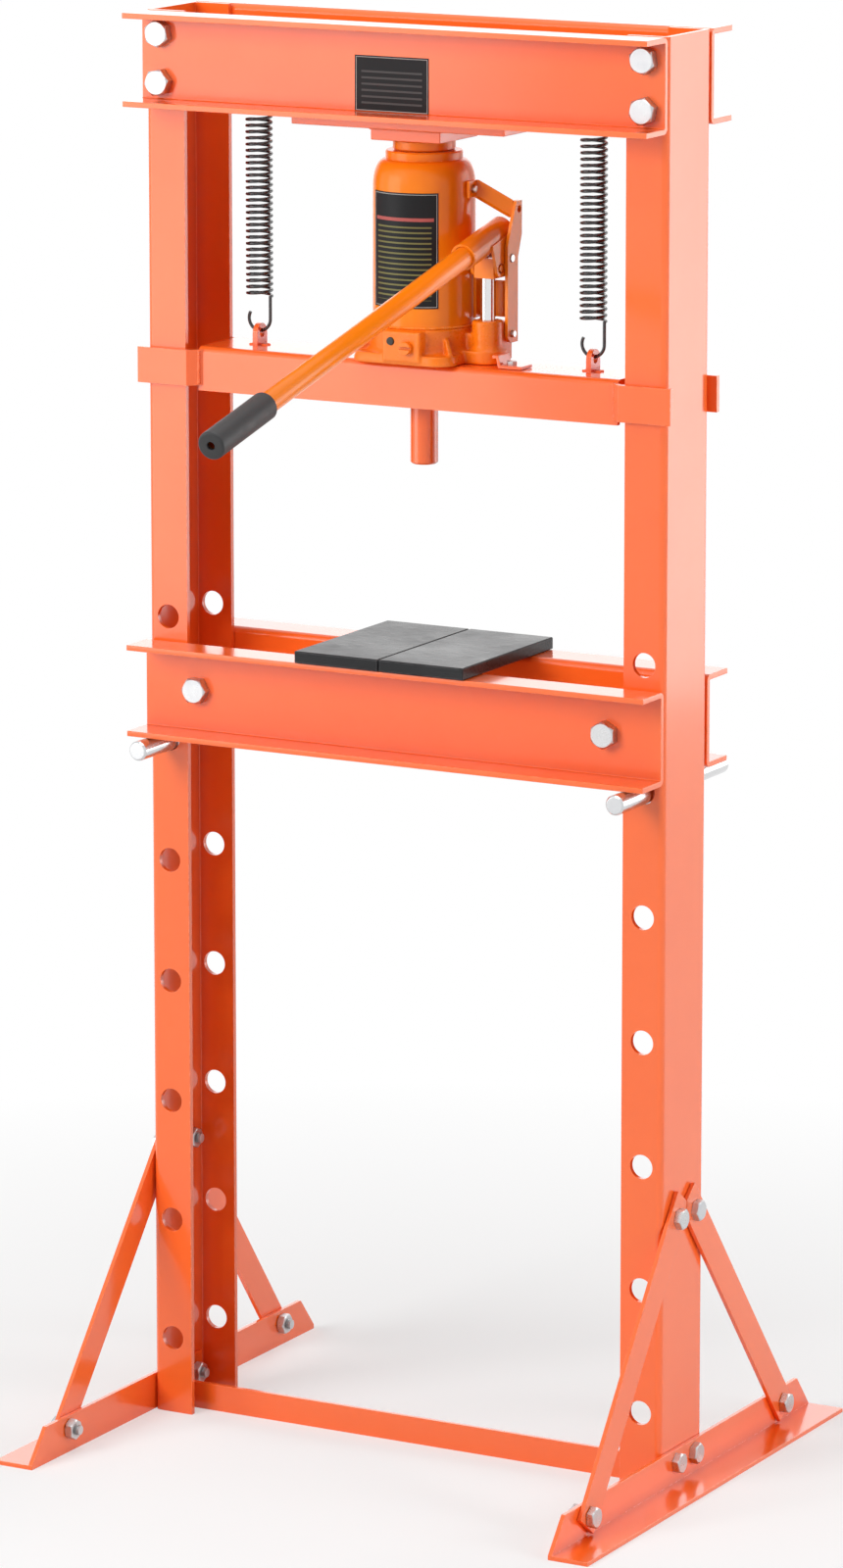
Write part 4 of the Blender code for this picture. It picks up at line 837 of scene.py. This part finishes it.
jackBase = {
    "halfWidth": 0.049, "halfDepth": 0.050, "corner": 0.018, "flange": 0.009, "flare": 0.0014,
    "flareTop": 0.0035, "height": 0.031, "bossRadius": 0.0485, "bossFoot": 0.004, "bossRim": 0.0297,
    "pumpX": 0.064, "footWidth": 0.034, "footHeight": 0.0117, "barrelRadius": 0.014, "barrelRise": 0.038,
    "barrelFillet": 0.0016, "barrelRim": 0.0012, "plungerBore": 0.0147, "boreFloor": 0.006, "boreTop": 0.06,
    "ribAngles": (-38, 38, 142, -142), "ribThickness": 0.0042, "ribRoot": 0.040, "ribReach": 0.060,
    "ribFoot": 0.004, "ribKnee": 0.0095, "ribRise": 0.023, "voxel": 0.0009, "smoothing": 4,
}
# the lowest and highest corners of the blocks run into the base, measured from its foot
baseBlocks = {
    "lug": ((0.0505, 0.004, 0.002), (0.0775, 0.0205, 0.036)),
    "bridge": ((0.030, -0.010, 0.004), (0.064, 0.010, 0.0265)),
    "valveBoss": ((-0.013, -0.053, 0.003), (0.024, -0.024, 0.030)),
}
# bores that the release valve and the filler plug screw into, from the front
baseBores = {
    "release_valve": {"diameter": 0.0086, "floor": -0.036},
    "filler_plug": {"diameter": 0.0074, "floor": -0.042},
    "front": -0.08,
}


def joined(*meshes):
    shape = bmesh.new()
    for mesh in meshes:
        shape.from_mesh(mesh)
        bpy.data.meshes.remove(mesh)
    mesh = bpy.data.meshes.new("joined")
    shape.to_mesh(mesh)
    shape.free()
    return mesh


def roundedRectangle(halfWidth, halfDepth, corner):
    x, y = halfWidth - corner, halfDepth - corner
    places = ((x, -y, -90), (x, y, 0), (-x, y, 90), (-x, -y, 180))
    return [point for cx, cy, first in places for point in arc((cx, cy), corner, first, first + 90, 8)]


def lofted(outlines, heights):
    shape = bmesh.new()
    rings = [[shape.verts.new((x, y, z)) for x, y in outline] for outline, z in zip(outlines, heights)]
    shape.faces.new(rings[0])
    shape.faces.new(rings[-1])
    for one, two in zip(rings, rings[1:]):
        for i in range(len(one)):
            j = (i + 1) % len(one)
            shape.faces.new((one[i], one[j], two[j], two[i]))
    return newMesh("lofted", shape)


def makeJackBase():
    # plain solids run together on a fine grid, so that every seam is filleted as cast iron's are
    v = jackBase
    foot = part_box("jack_base")[0].z
    sizes = ((v["flare"], 0), (v["flare"], v["flareTop"]), (0, v["flange"]))
    outlines = [roundedRectangle(v["halfWidth"] + g, v["halfDepth"] + g, v["corner"]) for g, _ in sizes]
    pieces = [lofted(outlines, [foot + z for _, z in sizes])]
    r, low = v["bossRadius"], v["bossFoot"]
    profile = [(0, low), (r + low, low), (r + low, 0.009), (r + 0.0012, 0.012), (r, 0.017),
               (r, v["bossRim"]), (r - 0.0013, v["height"]), (0, v["height"])]
    pieces.append(lathe(profile, Matrix.Translation((0, 0, foot)), 96))
    half = v["footWidth"] / 2
    outline = arc((v["pumpX"], 0), half, -90, 90, 16) + arc((0, 0), half, 90, 270, 16)
    pieces.append(lofted([outline, outline], [foot, foot + v["footHeight"]]))
    r, rise, wide = v["barrelRadius"], v["barrelRise"], v["barrelRadius"] + v["barrelFillet"]
    profile = [(0, low), (wide, low), (wide, 0.0125), (r, 0.016), (r, rise - v["barrelRim"]),
               (r - v["barrelRim"], rise), (0, rise)]
    pieces.append(lathe(profile, Matrix.Translation((v["pumpX"], 0, foot)), 64))
    lift = Vector((0, 0, foot))
    for lowest, highest in baseBlocks.values():
        pieces.append(block(Vector(lowest) + lift, Vector(highest) + lift))
    root, thick = v["ribRoot"], v["ribThickness"] / 2
    outline = [(root, v["ribFoot"]), (v["ribReach"], v["ribFoot"]), (v["ribReach"], v["ribKnee"]),
               (v["bossRadius"] + 0.002, v["ribRise"]), (root, v["ribRise"])]
    for angle in v["ribAngles"]:
        turn = Matrix.Translation((0, 0, foot)) @ Matrix.Rotation(math.radians(angle), 4, "Z")
        pieces.append(prism(outline, lambda a, h, t: turn @ Vector((a, t, h)), -thick, thick))
    thing = linked("jackBlank", joined(*pieces))
    grid = thing.modifiers.new("grid", "REMESH")
    grid.mode, grid.voxel_size, grid.use_smooth_shade = "VOXEL", v["voxel"], True
    soft = thing.modifiers.new("soft", "SMOOTH")
    soft.factor, soft.iterations = 0.5, v["smoothing"]
    mesh = evaluated(thing)
    x, front = v["pumpX"], baseBores["front"]
    bore = rod((x, 0, foot + v["boreFloor"]), (x, 0, foot + v["boreTop"]), v["plungerBore"], 48)
    cuts = [("DIFFERENCE", bore)]
    for node in ("release_valve", "filler_plug"):
        centre, hole = middle(node), baseBores[node]
        start, end = (centre.x, front, centre.z), (centre.x, hole["floor"], centre.z)
        cuts.append(("DIFFERENCE", rod(start, end, hole["diameter"], 32)))
    mesh = smoothed(worked(mesh, *cuts), 60)
    addPiece("jackBase", mesh, castPaint, "moving_beam", "jack_paint", "jack_base")


tankSizes = {"shoulder": 0.0355, "collar": 0.0345, "bore": 0.0166, "straightTop": 1.1526,
             "shoulderTop": 1.1766, "floor": 0.012, "earHeight": 1.152, "ear": 0.012, "weld": 0.0014}


def makeTank():
    low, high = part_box("jack_tank")
    radius, base, tall = -low.x, low.z, high.z - low.z
    sizes = tankSizes
    bore, collar, floor = sizes["bore"], sizes["collar"], sizes["floor"]
    straight, rise = sizes["straightTop"] - base, sizes["shoulderTop"] - sizes["straightTop"]
    reach = radius - sizes["shoulder"]
    profile = [(bore, floor), (bore, tall - 0.001), (bore + 0.001, tall)]
    profile += [(collar - 0.0012, tall), (collar, tall - 0.0012)]
    profile += [(collar, straight + rise + 0.0006), (sizes["shoulder"] + 0.0004, straight + rise)]
    for i in range(13):
        angle = math.pi / 2 * (1 - i / 12)
        profile.append((sizes["shoulder"] + reach * math.cos(angle), straight + rise * math.sin(angle)))
    profile += [(radius, 0.0008), (radius - 0.0008, 0), (0, 0), (0, floor), (bore, floor)]
    body = lathe(profile, Matrix.Translation((0, 0, base)), 128)
    ear = rod((radius - 0.006, 0, sizes["earHeight"]), (high.x, 0, sizes["earHeight"]), sizes["ear"], 40)
    mesh = smoothed(worked(body, ("UNION", ear)), 28)
    addPiece("jackTank", mesh, jackPaint, "moving_beam", "jack_paint", "jack_tank")
    ring = [(radius * math.cos(a), radius * math.sin(a), base + 0.0008)
            for a in (math.radians(3 * i) for i in range(121))]
    addWelds("tankWeld", "moving_beam", [ring], tankSizes["weld"], jackPaint, "jack_paint")


ramSizes = {"diameter": 0.032, "saddleHeight": 0.009, "edge": 0.0012, "rings": 5, "ringPitch": 0.004,
            "ringDepth": 0.0006, "ringWidth": 0.0024}


def makeRam():
    # a bright ram under a painted saddle with turned rings
    v = ramSizes
    low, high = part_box("jack_ram")
    saddle, c, top, sunk = (high.x - low.x) / 2, v["edge"], v["saddleHeight"], v["ringDepth"]
    neck = high.z - top
    mesh = softened(rod((0, 0, low.z), (0, 0, neck + 0.001), v["diameter"], 96), 0.0004)
    addPiece("jackRam", mesh, ramSteel, "frame", "bright_steel", "jack_ram")
    profile = [(0, 0), (saddle - c, 0), (saddle, c), (saddle, top - c), (saddle - c, top)]
    for i in range(v["rings"]):
        r = saddle - (i + 1) * v["ringPitch"]
        inner = r - v["ringWidth"]
        profile += [(r, top), (r - sunk, top - sunk), (inner + sunk, top - sunk), (inner, top)]
    profile += [(0, top)]
    mesh = smoothed(lathe(profile, Matrix.Translation((0, 0, neck)), 96), 28)
    addPiece("jackSaddle", mesh, jackPaint, "frame", "jack_paint")


pump = {"x": 0.064, "plunger": 0.014, "headHeight": 0.018}


def makePump():
    # a bright plunger with a painted head
    low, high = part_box("pump_plunger")
    centre, neck = middle("pump_plunger"), high.z - pump["headHeight"]
    stem = rod((pump["x"], centre.y, low.z), (pump["x"], centre.y, neck + 0.0005), pump["plunger"], 64)
    addPiece("pumpPlunger", softened(stem, 0.0005), ramSteel, "plunger", "bright_steel", "pump_plunger")
    around = block((low.x - 0.01, low.y - 0.01, neck), (high.x + 0.01, high.y + 0.01, high.z + 0.01))
    head = softened(worked(nodeCopy("pump_plunger"), ("INTERSECT", around)), 0.0007)
    addPiece("plungerHead", head, jackPaint, "plunger", "jack_paint")
    low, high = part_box("fulcrum_pin")
    centre, radius = middle("fulcrum_pin"), (high.z - low.z) / 2
    mesh = softened(rod((low.x, centre.y, centre.z), (high.x, centre.y, centre.z), 2 * radius, 40), 0.0006)
    addPiece("fulcrumPin", mesh, zincPlate, "moving_beam", "zinc_plate", "fulcrum_pin")
    for name, node, width in (("fulcrumYoke", "fulcrum_yoke", 0.0006), ("stayArm", "stay_arm", 0.0005)):
        mesh = softened(nodeCopy(node), width)
        addPiece(name, mesh, jackPaint, "moving_beam", "jack_paint", node)
    for name, node in (("yokeBolt", "yoke_bolt"), ("earBolt", "ear_bolt")):
        mesh = softened(nodeCopy(node), 0.0005)
        addPiece(name, mesh, zincPlate, "moving_beam", "zinc_plate", node)
    mesh = softened(nodeCopy("filler_plug"), 0.0006)
    addPiece("fillerPlug", mesh, plugRubber, "moving_beam", "plug_rubber", "filler_plug")
    mesh = softened(nodeCopy("release_valve"), 0.0005)
    addPiece("releaseValve", mesh, castPaint, "valve", "jack_paint", "release_valve")


clip = {"left": 0.083, "right": 0.112, "front": -0.0275, "rear": -0.0065, "thickness": 0.0028,
        "rise": 0.0085, "boltX": 0.098, "boltY": -0.018}
clipScrew = {"Flats": 0.008, "Head Height": 0.0035, "Nut Height": 0.004, "Tail": 0.002,
             "Thread Diameter": 0.005, "Thread Pitch": 0.0008}


def makeHoldDownClip():
    # a strap clip that holds the pump's foot to the beam, with its small bolt
    c, top = clip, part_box("jack_base")[0].z
    t, rise, left, right = c["thickness"], c["rise"], c["left"], c["right"]
    outline = [(left, t + rise), (left + 0.006, t + rise), (left + 0.0085, t), (right, t), (right, 0),
               (left + 0.006, 0), (left + 0.004, rise), (left, rise)]
    mesh = softened(prism(outline, lambda a, h, y: (a, y, top + h), c["front"], c["rear"]), 0.0005)
    addPiece("holdDownClip", mesh, framePaint, "moving_beam", "frame_paint")
    seat = bpy.data.meshes.new("clipBolt")
    seat.from_pydata([(c["boltX"], c["boltY"], top + t)], [], [])
    seat.attributes.new("outwards", "FLOAT_VECTOR", "POINT").data[0].vector = (0, 0, 1)
    values = {**clipScrew, "Grip": t + 0.005, "Seed": 6, "Finish": zincPlate}
    mesh = smoothed(runTree(linked("clipBolt", seat), hexFasteners, values), 28)
    addPiece("clipBolt", mesh, zincPlate, "moving_beam", "zinc_plate")


makeJackBase()
makeHoldDownClip()
makeTank()
makeRam()
makePump()
print("jack made")


# handle

handleSizes = {"rodDiameter": 0.019, "rodWall": 0.002, "rodHollow": 0.12, "rodEdge": 0.0006,
               "gripDiameter": 0.025, "gripBore": 0.0192, "gripEdge": 0.0022, "gripHole": 0.007,
               "gripEndWall": 0.003, "socketEdge": 0.0006, "fall": 13.7}


def handleEnds(node, radius):
    # the ends of a round piece that lies along the handle, from its box
    low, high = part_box(node)
    fall = math.radians(handleSizes["fall"])
    middleX = (low.x + high.x) / 2
    inset = Vector((0, radius * math.sin(fall), radius * math.cos(fall)))
    front = Vector((middleX, low.y + inset.y, low.z + inset.z))
    rear = Vector((middleX, high.y - inset.y, high.z - inset.z))
    return front, rear


def makeHandle():
    v = handleSizes
    mesh = softened(nodeCopy("handle_socket"), v["socketEdge"])
    addPiece("handleSocket", mesh, jackPaint, "handle", "jack_paint", "handle_socket")
    # the rod is a tube, open at the grip's end
    radius, deep, edge = v["rodDiameter"] / 2, v["rodHollow"], v["rodEdge"]
    inner = radius - v["rodWall"]
    front, rear = handleEnds("handle_rod", radius)
    length = (rear - front).length
    profile = [(0, deep), (inner, deep), (inner, 0.0005), (inner + 0.0005, 0), (radius - edge, 0)]
    profile += [(radius, edge), (radius, length - edge), (radius - edge, length), (0, length)]
    mesh = smoothed(lathe(profile, along(front, rear), 96), 30)
    addPiece("handleRod", mesh, jackPaint, "handle", "jack_paint", "handle_rod")
    radius, bore, edge = v["gripDiameter"] / 2, v["gripBore"] / 2, v["gripEdge"]
    front, rear = handleEnds("handle_grip", radius)
    length = (rear - front).length
    hole, skin = v["gripHole"] / 2, v["gripEndWall"]
    profile = [(bore, skin), (hole, skin), (hole, 0.0006), (hole + 0.0006, 0)]
    profile += [(radius - edge + r, edge + h) for r, h in arc((0, 0), edge, 270, 360, 5)]
    profile += [(radius, length - 0.0015), (radius - 0.0012, length), (bore, length), (bore, skin)]
    mesh = smoothed(lathe(profile, along(front, rear), 96), 30)
    addPiece("handleGrip", mesh, gripRubber, "handle", "grip_rubber", "handle_grip")


makeHandle()
print("handle made")


# bed pins and arbor plates

bedParts = {"pinChamfer": 0.0016, "plateEdge": 0.0010}


def makeBedParts():
    for label, side, _ in sidesOfPress:
        node = "bed_pin_" + side
        low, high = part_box(node)
        radius, length, c = (high.x - low.x) / 2, high.y - low.y, bedParts["pinChamfer"]
        profile = [(0, 0), (radius - c, 0), (radius, c)]
        profile += [(radius, length - c), (radius - c, length), (0, length)]
        centre = middle(node)
        place = along((centre.x, low.y, centre.z), (centre.x, high.y, centre.z))
        mesh = softened(lathe(profile, place, 64), 0.0003)
        addPiece("bedPin" + label, mesh, pinSteel, "pin_" + side, "bright_steel", node)
        node = "arbor_plate_" + side
        mesh = softened(nodeCopy(node), bedParts["plateEdge"])
        addPiece("arborPlate" + label, mesh, plateSteel, "arbor_" + side, "dark_steel", node)


makeBedParts()
print("bed made")


# blank dark plates with plain rules, where the press has its labels

labelSizes = {"thickness": 0.0003, "sunk": 0.0001, "border": 0.0012, "borderWidth": 0.0005,
              "headerFoot": 0.74, "sheet": (0.012, 0.012, 0.013), "edge": (0.45, 0.45, 0.43)}
beamLabel = {"left": -0.0437, "right": 0.0305, "bottom": 1.2207, "top": 1.2705, "rows": 9,
             "rule": (0.07, 0.07, 0.07)}
tankLabel = {"first": -131, "last": -45.5, "bottom": 1.048, "top": 1.1505, "steps": 40, "rows": 22,
             "rule": (0.17, 0.155, 0.055), "band": (0.42, 0.10, 0.09)}


def makeLabelFinish(name, size, rows, ruleColour, bandColour=None):
    # a dark sheet with a thin pale border and plain rules, and nothing to read
    sheet = labelSizes["sheet"]
    material = makeFinish(name, colour=sheet, roughness=0.42, roughSpread=0.12, fineScale=900,
                          grainDepth=0.00001, specular=0.18)
    tree = material.node_tree
    place = put(tree, "ShaderNodeUVMap").outputs[0]
    x, y, _ = put(tree, "ShaderNodeSeparateXYZ", {0: place}).outputs

    def within(value, low, high):
        above, below = calc(tree, "GREATER_THAN", value, low), calc(tree, "LESS_THAN", value, high)
        return calc(tree, "MULTIPLY", above, below)

    def fromEdge(value, length):
        off = calc(tree, "ABSOLUTE", calc(tree, "SUBTRACT", value, 0.5))
        return calc(tree, "MULTIPLY", calc(tree, "SUBTRACT", 0.5, off), length)

    near = calc(tree, "MINIMUM", fromEdge(x, size[0]), fromEdge(y, size[1]))
    border = within(near, labelSizes["border"], labelSizes["border"] + labelSizes["borderWidth"])
    row = calc(tree, "FRACT", calc(tree, "MULTIPLY", y, rows))
    rules = calc(tree, "MULTIPLY", within(row, 0.3, 0.62), within(y, 0.07, labelSizes["headerFoot"]))
    rules = calc(tree, "MULTIPLY", rules, within(x, 0.09, 0.91))
    colour = blendColours(tree, rules, (*sheet, 1), (*ruleColour, 1))
    if bandColour:
        band = within(y, labelSizes["headerFoot"] + 0.015, labelSizes["headerFoot"] + 0.045)
        band = calc(tree, "MULTIPLY", band, within(x, 0.06, 0.94))
        colour = blendColours(tree, band, colour, (*bandColour, 1))
    colour = blendColours(tree, border, colour, (*labelSizes["edge"], 1))
    tree.links.new(colour, tree.nodes["Principled BSDF"].inputs["Base Color"])
    return material


def labelMesh(name, shape):
    mesh = bpy.data.meshes.new(name)
    shape.to_mesh(mesh)
    shape.free()
    return mesh


def makeBeamLabel():
    b, t = beamLabel, labelSizes["thickness"]
    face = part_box("top_beam_front")[1].y - channel["wall"]
    shape = bmesh.new()
    uv = shape.loops.layers.uv.new("UVMap")
    left, right, bottom, top = b["left"], b["right"], b["bottom"], b["top"]
    corners = [(left, bottom), (right, bottom), (right, top), (left, top)]
    front = [shape.verts.new((x, face - t, z)) for x, z in corners]
    back = [shape.verts.new((x, face + labelSizes["sunk"], z)) for x, z in corners]
    panel = shape.faces.new(front)
    for i in range(4):
        j = (i + 1) % 4
        shape.faces.new((front[j], front[i], back[i], back[j]))
    for loop, place in zip(panel.loops, ((0, 0), (1, 0), (1, 1), (0, 1))):
        loop[uv].uv = place
    ink = makeLabelFinish("beamLabelInk", (right - left, top - bottom), b["rows"], b["rule"])
    addPiece("beamLabel", labelMesh("beamLabel", shape), ink, "frame")


def makeTankLabel():
    c, t = tankLabel, labelSizes["thickness"]
    radius, steps, sweep = -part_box("jack_tank")[0].x, c["steps"], c["last"] - c["first"]
    shape = bmesh.new()
    uv = shape.loops.layers.uv.new("UVMap")
    columns = []
    for i in range(steps + 1):
        angle = math.radians(c["first"] + sweep * i / steps)
        out = Vector((math.cos(angle), math.sin(angle), 0))
        inner, outer = out * (radius - labelSizes["sunk"]), out * (radius + t)
        points = ((inner, c["bottom"]), (outer, c["bottom"]), (outer, c["top"]), (inner, c["top"]))
        columns.append([shape.verts.new((p.x, p.y, z)) for p, z in points])
    for i in range(steps):
        one, two = columns[i], columns[i + 1]
        shape.faces.new((one[0], two[0], two[1], one[1]))
        shape.faces.new((one[2], two[2], two[3], one[3]))
        panel = shape.faces.new((one[1], two[1], two[2], one[2]))
        for loop, (column, rise) in zip(panel.loops, ((i, 0), (i + 1, 0), (i + 1, 1), (i, 1))):
            loop[uv].uv = (column / steps, rise)
    for column in (columns[0], columns[-1]):
        shape.faces.new(column)
    bmesh.ops.recalc_face_normals(shape, faces=shape.faces)
    mesh = smoothed(labelMesh("tankLabel", shape), 30)
    size = (math.radians(sweep) * radius, c["top"] - c["bottom"])
    ink = makeLabelFinish("tankLabelInk", size, c["rows"], c["rule"], c["band"])
    addPiece("tankLabel", mesh, ink, "moving_beam")


makeBeamLabel()
makeTankLabel()
print("labels made")


# stage

camera = {"azimuth": 28.82, "elevation": 9.91, "distance": 6.111, "aim": (0, 0, 0.834), "lens": 157.03,
          "shiftX": -0.0018, "shiftY": -0.156}
# a lamp's "lights" says whether it lights the surfaces, shows in their gloss, or both
lamps = {
    "keyLight": {"place": (-1.5, -3.0, 2.3), "size": (2.0, 1.8), "power": 104, "lights": "diffuse"},
    "frontPanel": {"place": (-2.45, -2.7, 1.12), "size": (2.1, 2.2), "power": 30, "lights": "glossy"},
    "sideStrip": {"place": (3.3, 0.0, 1.0), "size": (0.45, 2.4), "power": 54, "lights": "diffuse"},
    "sidePanel": {"place": (2.45, 2.6, 1.0), "size": (1.9, 2.2), "power": 30, "lights": "glossy"},
    "backPanel": {"place": (-2.0, 3.6, 1.5), "size": (3.2, 2.0), "power": 16, "lights": "glossy"},
    "backFill": {"place": (0.3, 4.2, 2.4), "size": (2.6, 2.0), "power": 60, "lights": "diffuse"},
    "topLight": {"place": (0.2, -0.6, 3.4), "size": (2.0, 2.0), "power": 34, "lights": "both"},
}
stageLook = {"floorSize": 30, "floorColour": (0.86, 0.86, 0.86, 1), "aimHeight": 0.75, "ambient": 0.17,
             "nearShade": 0.45, "fadeStart": 0.35, "fadeEnd": 1.3}


def makeLamps():
    aim = Vector((0, 0, stageLook["aimHeight"]))
    for name, values in lamps.items():
        light = bpy.data.lights.new(name, "AREA")
        light.shape = "RECTANGLE"
        light.size, light.size_y = values["size"]
        light.energy = values["power"]
        lamp = linked(name, light)
        lamp.location = values["place"]
        lamp.rotation_euler = (aim - Vector(values["place"])).to_track_quat("-Z", "Y").to_euler()
        lamp.visible_camera = False
        lamp.visible_diffuse = values["lights"] != "glossy"
        lamp.visible_glossy = values["lights"] != "diffuse"


def whiteRays(tree):
    # 1 for the rays that see the white background: straight, mirrored or through glass
    rays = put(tree, "ShaderNodeLightPath")
    seen = calc(tree, "MAXIMUM", rays.outputs["Is Camera Ray"], rays.outputs["Is Transmission Ray"])
    return calc(tree, "MAXIMUM", seen, rays.outputs["Is Glossy Ray"])


def makeFloor():
    half = stageLook["floorSize"] / 2
    corners = [(-half, -half, 0), (half, -half, 0), (half, half, 0), (-half, half, 0)]
    floorMesh = bpy.data.meshes.new("floor")
    floorMesh.from_pydata(corners, [], [(0, 1, 2, 3)])
    material = bpy.data.materials.new("floorSheet")
    material.use_nodes = True
    tree = material.node_tree
    tree.nodes.clear()
    sheet = put(tree, "ShaderNodeBsdfDiffuse", {"Color": stageLook["floorColour"]})
    glow = put(tree, "ShaderNodeEmission", {"Color": (1, 1, 1, 1), "Strength": 1.0})
    place = put(tree, "ShaderNodeNewGeometry").outputs["Position"]
    away = put(tree, "ShaderNodeVectorMath", {0: place}, operation="LENGTH").outputs["Value"]
    share = spread(tree, away, stageLook["fadeStart"], stageLook["fadeEnd"], stageLook["nearShade"], 1.0)
    share = calc(tree, "MULTIPLY", share, whiteRays(tree))
    mixed = put(tree, "ShaderNodeMixShader", {0: share, 1: sheet.outputs[0], 2: glow.outputs[0]})
    end = put(tree, "ShaderNodeOutputMaterial")
    tree.links.new(mixed.outputs[0], end.inputs["Surface"])
    floorMesh.materials.append(material)
    linked("floor", floorMesh)


def makeSurround():
    world = bpy.data.worlds.new("surround")
    bpy.context.scene.world = world
    world.use_nodes = True
    tree = world.node_tree
    tree.nodes.clear()
    strength = spread(tree, whiteRays(tree), 0.0, 1.0, stageLook["ambient"], 1.0)
    sky = put(tree, "ShaderNodeBackground", {"Color": (1, 1, 1, 1), "Strength": strength})
    end = put(tree, "ShaderNodeOutputWorld")
    tree.links.new(sky.outputs[0], end.inputs["Surface"])


def makeCamera():
    turn, rise = math.radians(camera["azimuth"]), math.radians(camera["elevation"])
    back = Vector((math.sin(turn) * math.cos(rise), -math.cos(turn) * math.cos(rise), math.sin(rise)))
    view = linked("camera", bpy.data.cameras.new("camera"))
    view.location = Vector(camera["aim"]) + back * camera["distance"]
    view.rotation_euler = (-back).to_track_quat("-Z", "Y").to_euler()
    view.data.lens, view.data.sensor_width = camera["lens"], 36
    view.data.shift_x, view.data.shift_y = camera["shiftX"], camera["shiftY"]
    view.data.clip_end = 60
    scene = bpy.context.scene
    scene.camera = view
    scene.view_settings.view_transform = "Standard"


makeLamps()
makeFloor()
makeSurround()
makeCamera()
print("stage made")
